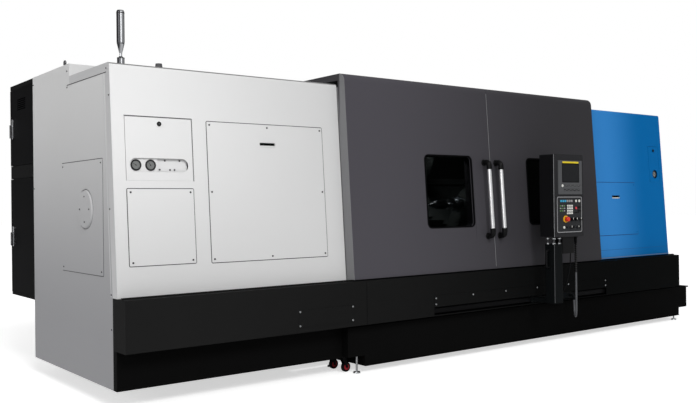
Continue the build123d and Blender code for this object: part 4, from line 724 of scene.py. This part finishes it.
# ---------------------------------------------------------------- doors
WINDOW_WIDTH = 0.525
WINDOW_BOTTOM, WINDOW_TOP = 1.080, 1.660
HANDLE_BOTTOM, HANDLE_TOP = 0.990, 1.614
HANDLE_REACH = 0.078 - 0.034 / 2
HANDLE_BEND = 0.030
BEND_STEPS = 8
FOOT = 0.044 / 2
for side, window_left, handle_x in (("left", 2.575, 3.256), ("right", 3.810, 3.402)):
    body = f"{side}_door"
    gasket = Shape(f"{side}_window_gasket", body, "gasket")
    height = (WINDOW_TOP - WINDOW_BOTTOM) / math.cos(LEAN)
    plane = on_cover(window_left + WINDOW_WIDTH / 2, (WINDOW_BOTTOM + WINDOW_TOP) / 2, DOOR_PROUD)
    gasket.frame(plane, rounded(WINDOW_WIDTH + 0.020, height + 0.020, 0.045, 6),
                 rounded(WINDOW_WIDTH - 0.004, height - 0.004, 0.033, 6), -0.006, 0.0035)
    gasket.done()
    # Black elbows over the ends of the handle
    elbows = Shape(f"{side}_handle_elbows", body, "black_plastic")
    for end_z, sense in ((HANDLE_BOTTOM, 1), (HANDLE_TOP, -1)):
        base = on_cover(handle_x, end_z, DOOR_PROUD)
        arc = [Vector((0, 0, 0.004)), Vector((0, 0, HANDLE_REACH - HANDLE_BEND))]
        for k in range(1, BEND_STEPS + 1):
            a = math.radians(90 * k / BEND_STEPS)
            arc.append(Vector((0, sense * HANDLE_BEND * (1 - math.cos(a)),
                               HANDLE_REACH - HANDLE_BEND + HANDLE_BEND * math.sin(a))))
        arc.append(Vector((0, sense * 0.054, HANDLE_REACH)))
        elbows.tube([base @ p for p in arc], FOOT + 0.0012, 18)
        elbows.turned(base, [(FOOT + 0.006, 0), (FOOT + 0.006, 0.004), (FOOT + 0.003, 0.007),
                             (FOOT - 0.002, 0.007)], 24)
        collar = (base @ Matrix.Translation((0, sense * 0.050, HANDLE_REACH))
                  @ Matrix.Rotation(-sense * math.pi / 2, 4, "X"))
        elbows.turned(collar, [(FOOT + 0.002, 0), (FOOT + 0.002, 0.010), (FOOT - 0.001, 0.012),
                               (0.0165, 0.012)], 24)
    elbows.done()
stripe = Shape("door_faint_line", "left_door", "door_grey")
stripe.slab(on_cover(3.118, 1.325, DOOR_PROUD), rounded(0.003, 0.70, 0.001, 2), SUNK, 0.0012)
stripe.done()

# Painted highlight: a light line along the left door's seam
line = Shape("door_seam_highlight", "left_door", "highlight_strip")
line.slab(on_cover(3.3350, 1.470, DOOR_PROUD), rounded(0.0042, 1.49, 0.001, 2), SUNK, 0.0010)
line.done()

# ---------------------------------------------------------------- pendant
# Painted highlights on the front left edge of the box and of the post: tone, middle height, length, width, inset
# from the corner
BOX_LEFT = 3.780
for number, (tone, middle, length, width, inset) in enumerate((
        ("highlight_strip", 1.3275, 0.716, 0.0036, 0.0011), ("dim_highlight_strip", 0.650, 0.500, 0.0040, 0.0041))):
    glint = Shape(f"pendant_edge_highlight_{number + 1}", "pendant", tone)
    plane = placed(at(BOX_LEFT + inset, BOX_Y + inset, middle), (1, -1, 0), Z)
    glint.slab(plane, rounded(width, length, 0.001, 2), -LINE_PROUD, LINE_PROUD)
    glint.done()
DISPLAY_X = 4.0015
SCREEN_Z = 1.526
front_panel = Shape("display_strip", "pendant", "yellow")
front_panel.slab(on_front(DISPLAY_X, DISPLAY_Y, 1.618), rounded(0.222, 0.015, 0.002), SUNK, 0.0012, 0.0004)
front_panel.done()
screen = Shape("display_screen", "pendant", "screen")
screen.slab(on_front(DISPLAY_X, DISPLAY_Y + 0.003, SCREEN_Z), rounded(0.226, 0.159, 0.002),
            SUNK, 0.0008, 0.0003)
screen.done()
bezel = Shape("display_bezel", "pendant", "gasket")
bezel.frame(on_front(DISPLAY_X, DISPLAY_Y, SCREEN_Z), rounded(0.236, 0.168, 0.004),
            rounded(0.226, 0.158, 0.002), SUNK, 0.0012)
bezel.done()
# Keys of the display in two rows, each with a mark: height of the row, count, width and height of a key
FIRST_KEY_X = 3.918
KEY_PITCH = 0.0275
soft_keys = Shape("display_keys", "pendant", "black_plastic")
key_marks = Shape("display_key_marks", "pendant", "grey_key")
for kz, count, width, height in ((1.414, 9, 0.015, 0.013), (1.377, 8, 0.017, 0.018)):
    for column in range(count):
        kx = FIRST_KEY_X + column * KEY_PITCH
        soft_keys.slab(on_front(kx, DISPLAY_Y, kz), rounded(width, height, 0.003), SUNK, 0.003, 0.0008)
        mark_z = kz + (0.002 if column % 2 else -0.002)
        key_marks.slab(on_front(kx - 0.0025, DISPLAY_Y - 0.003, mark_z), rounded(0.008, 0.006, 0.001, 2),
                       SUNK, 0.0004)
soft_keys.done()
key_marks.done()
power_key = Shape("display_power_key", "pendant", "white_key")
power_key.turned(on_front(3.886, DISPLAY_Y, 1.413), [(0.012, SUNK), (0.012, 0.003), (0.0105, 0.005)], 20)
power_key.done()

edge = Shape("console_edge", "pendant", "console_edge")
edge.frame(on_front(3.9865, CONSOLE_Y, 1.1615), rounded(0.345, 0.313, 0.0175, 6),
           rounded(0.330, 0.298, 0.012, 6), SUNK, 0.0010)
edge.done()
# Plate of the emergency stop, open in the middle for the button's stem
E_STOP_X, E_STOP_Z = 3.928, 1.122
E_STOP_PROUD = 0.0093
base = Shape("e_stop_plate", "pendant", "stop_yellow")
base.turned(on_front(E_STOP_X, CONSOLE_Y, E_STOP_Z), [
    (0.0306, SUNK), (0.0306, 0.0035), (0.0298, E_STOP_PROUD), (0.0215, E_STOP_PROUD),
    (0.0215, 0.0010)], 36)
base.done()
arrows = Shape("e_stop_marks", "pendant", "gasket")
for k in range(3):
    spot = turned_by(on_front(E_STOP_X, CONSOLE_Y - E_STOP_PROUD, E_STOP_Z), 120 * k + 20)
    arrows.slab(spot, [(0.0235, -0.004), (0.0268, -0.001), (0.0268, 0.004), (0.0235, 0.001)], SUNK, 0.0004)
arrows.done()

colours = {name: Shape(f"console_{name}s", "pendant", name) for name in (
    "white_key", "blue_key", "grey_key", "green_key")}
dark_keys = Shape("console_dark_keys", "pendant", "black_plastic")


def cap(shape, x, z, width, height, high=0.0036):
    """A key on the control panel."""
    shape.slab(on_front(x, CONSOLE_Y, z), rounded(width, height, 0.002, 3), SUNK, high, 0.0008)


KEYPAD_TOP = 1.238
KEYPAD_ROW = 0.022
for row in range(4):
    for column in range(3):
        cap(colours["white_key"], 3.9592 + column * 0.0288, KEYPAD_TOP - row * KEYPAD_ROW,
            0.0212, 0.0158, high=0.0042)
for k in range(6):
    tint = "blue_key" if k < 3 else "grey_key"
    cap(colours[tint], 3.870 + k * 0.029, 1.280, 0.0200, 0.0186)
for row, names in enumerate((("green_key", "grey_key", "green_key"), ("grey_key", "green_key", "grey_key"),
                             ("green_key", "green_key", "grey_key"))):
    for column, tint in enumerate(names):
        cap(colours[tint], 3.862 + column * 0.026, KEYPAD_TOP - row * KEYPAD_ROW, 0.018, 0.011, high=0.002)
for column in range(2):
    for row in range(2):
        cap(dark_keys, 4.108 + column * 0.024, 1.224 - row * 0.030, 0.017, 0.017, high=0.003)
for column in range(3):
    cap(dark_keys, 4.062 + column * 0.024, 1.178, 0.017, 0.012, high=0.002)
for shape in colours.values():
    shape.done()
dark_keys.done()

# Knobs: the marks round them, a ridged grip on each and its white line
KNOB_ROW, LOWER_ROW = 1.120, 1.050
KNOBS = (
    ("feed_knob", "feed_knob", 4.012, KNOB_ROW), ("spindle_knob", "spindle_knob", 4.066, KNOB_ROW),
    ("third_knob", "pendant", 4.123, KNOB_ROW), ("lower_knob_a", "pendant", 3.991, LOWER_ROW),
    ("lower_knob_b", "pendant", 4.088, LOWER_ROW),
)
KNOB_FACE = CONSOLE_Y - 0.0195
GRIP_HEIGHT = 0.0012
plates = Shape("knob_plates", "pendant", "dial")
for _, _, kx, kz in KNOBS:
    for tick in range(9):
        spot = turned_by(on_front(kx, CONSOLE_Y, kz), DIAL_START - 33.75 * tick)
        plates.slab(spot, rounded(0.003, 0.0012, 0.0003, 2, 0.0205), SUNK, 0.0004)
plates.done()
ridged = [(outer if i % 4 in (0, 1) else inner) for i, (outer, inner) in enumerate(
    zip(circle(0.0138, 48), circle(0.0131, 48)))]
for name, body, kx, kz in KNOBS:
    grip = Shape(f"{name}_grip", body, "black_plastic")
    grip.slab(on_front(kx, KNOB_FACE, kz), ridged, 0, GRIP_HEIGHT, 0.0005)
    grip.done()
    line = Shape(f"{name}_line", body, "white_key")
    line.slab(on_front(kx, KNOB_FACE - GRIP_HEIGHT, kz + 0.0055), rounded(0.0062, 0.0150, 0.0012, 3),
              SUNK, 0.0005)
    line.done()
spare = Shape("spare_button_caps", "pendant", "white_key")
for kx, kz in ((4.118, 1.280), (3.903, LOWER_ROW)):
    spare.turned(on_front(kx, CONSOLE_Y, kz), [(0.0116, 0.002), (0.0116, 0.0072), (0.0100, 0.0086)], 24)
spare.done()
lower_buttons = Shape("lower_button_row", "pendant", "black_plastic")
for kx in (3.945, 4.040, 4.135):
    lower_buttons.turned(on_front(kx, CONSOLE_Y, LOWER_ROW), [
        (0.0095, SUNK), (0.0095, 0.004), (0.008, 0.006)], 20)
lower_buttons.done()

screws("pendant_box_screws", "pendant", [
    on_front(x, BOX_Y, z) for x in (3.798, 4.172) for z in (1.002, 1.330, 1.672)], 0.0045)
nuts = Shape("stud_nuts", "pendant", "zinc")
for nx in (3.802, 3.873):
    for ny in (-0.358, -0.292):
        for nz in (0.907, 0.950):
            nuts.slab(on_top(nx, ny, nz), circle(0.0145, 6), 0.0003, 0.010, 0.0015)
nuts.done()

# ---------------------------------------------------------------- cabinet
CABINET_Y = 1.910
for name, low, high in (("upper", 1.620, 2.240), ("lower", 0.580, 1.510)):
    seal = Shape(f"{name}_door_edge", f"{name}_cabinet_door", "gasket")
    seal.frame(on_side(SIDE_FACE, CABINET_Y, (low + high) / 2), rounded(0.590, high - low - 0.006, 0.004),
               rounded(0.578, high - low - 0.018, 0.003), 0, 0.0009)
    seal.done()

# Strips of the shell below, between and above the doors
LIP_BACK = 0.0226
cabinet_lips = Shape("cabinet_lips", "machine", "cabinet_black")
for low, high in ((0.561, 0.577), (1.513, 1.617), (2.243, 2.279)):
    cabinet_lips.slab(on_side(LIP_BACK, CABINET_Y, (low + high) / 2), rounded(0.594, high - low, 0.002, 2),
                      0, 0.0212, 0.001)
cabinet_lips.done()

# ---------------------------------------------------------------- casters and signal tower
for name, body, wy in (("front", "wheel_front", 0.060), ("rear", "wheel_rear", 0.215)):
    disc = Shape(f"{name}_wheel_hub", body, "wheel_red")
    for sense in (-1, 1):
        plane = placed(at(1.835, wy + sense * 0.0131, 0.0375), X if sense < 0 else -X, Z)
        disc.turned(plane, [(0.024, -0.0004), (0.024, 0.0012), (0.020, 0.002), (0.012, 0.0016),
                            (0.011, 0.0028)], 24)
    disc.done()
rings = Shape("tower_rings", "machine", "dark_screw")
for rz, radius in ((2.254, 0.0242), (2.262, 0.012), (2.350, 0.0245), (2.551, 0.0262)):
    rings.turned(on_top(0.159, 0.270, rz), [(radius, -0.003), (radius + 0.0006, -0.002),
                                            (radius + 0.0006, 0.002), (radius, 0.003)], 28)
rings.done()

# ---------------------------------------------------------------- stage and light
FLOOR_GLOW = 0.60
SURROUND_LIGHT = 0.32
floor_mesh = bpy.data.meshes.new("floor")
floor_mesh.from_pydata([(-60, -60, 0), (60, -60, 0), (60, 60, 0), (-60, 60, 0)], [], [(0, 1, 2, 3)])
floor = bpy.data.objects.new("floor", floor_mesh)
bpy.context.scene.collection.objects.link(floor)
material, tree, shader, add = tree_of("floor")
shader.inputs["Base Color"].default_value = (0.86, 0.86, 0.86, 1)
shader.inputs["Roughness"].default_value = 0.9
shader.inputs["Specular IOR Level"].default_value = 0.1
rays = add("ShaderNodeLightPath")
seen = add("ShaderNodeMath", {0: rays.outputs["Is Camera Ray"], 1: FLOOR_GLOW}, operation="MULTIPLY")
tree.links.new(seen.outputs["Value"], shader.inputs["Emission Strength"])
shader.inputs["Emission Color"].default_value = (1, 1, 1, 1)
floor_mesh.materials.append(material)
floor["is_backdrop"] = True

# White behind the part, for the camera and through the glass; a weaker light on everything else
world = bpy.data.worlds.new("surround")
bpy.context.scene.world = world
world.use_nodes = True
sky = world.node_tree
background = sky.nodes["Background"]
background.inputs["Color"].default_value = (1, 1, 1, 1)
rays = sky.nodes.new("ShaderNodeLightPath")
either = sky.nodes.new("ShaderNodeMath")
either.operation = "MAXIMUM"
sky.links.new(rays.outputs["Is Camera Ray"], either.inputs[0])
sky.links.new(rays.outputs["Is Transmission Ray"], either.inputs[1])
level = sky.nodes.new("ShaderNodeMapRange")
level.inputs["To Min"].default_value = SURROUND_LIGHT
level.inputs["To Max"].default_value = 1.0
sky.links.new(either.outputs["Value"], level.inputs["Value"])
sky.links.new(level.outputs["Result"], background.inputs["Strength"])


def lamp(name, kind, location, target, power, size):
    """A lamp that looks at a target; its size is an angle for a sun and a width for an area."""
    data = bpy.data.lights.new(name, kind)
    data.energy = power
    if kind == "AREA":
        data.shape = "DISK"
        data.size = size
    else:
        data.angle = size
    lamp_object = bpy.data.objects.new(name, data)
    bpy.context.scene.collection.objects.link(lamp_object)
    lamp_object.location = location
    lamp_object.rotation_mode = "QUATERNION"
    lamp_object.rotation_quaternion = (Vector(target) - Vector(location)).to_track_quat("-Z", "Y")
    return lamp_object


lamp("sun", "SUN", at(0.5, -6, 6), at(1.5, 0, 1), 1.2, 0.35)
lamp("side_sun", "SUN", at(-9, -3, 4), at(0, 0, 1), 0.75, 0.5)
lamp("key", "AREA", at(-0.6, -5.5, 4.2), at(0.8, 0, 1.5), 50, 3.0)
lamp("chamber_lamp", "AREA", at(2.9, 0.35, 2.10), at(3.1, 0.55, 1.0), 16, 0.25)
bpy.context.scene.view_settings.view_transform = "Standard"

low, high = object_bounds()
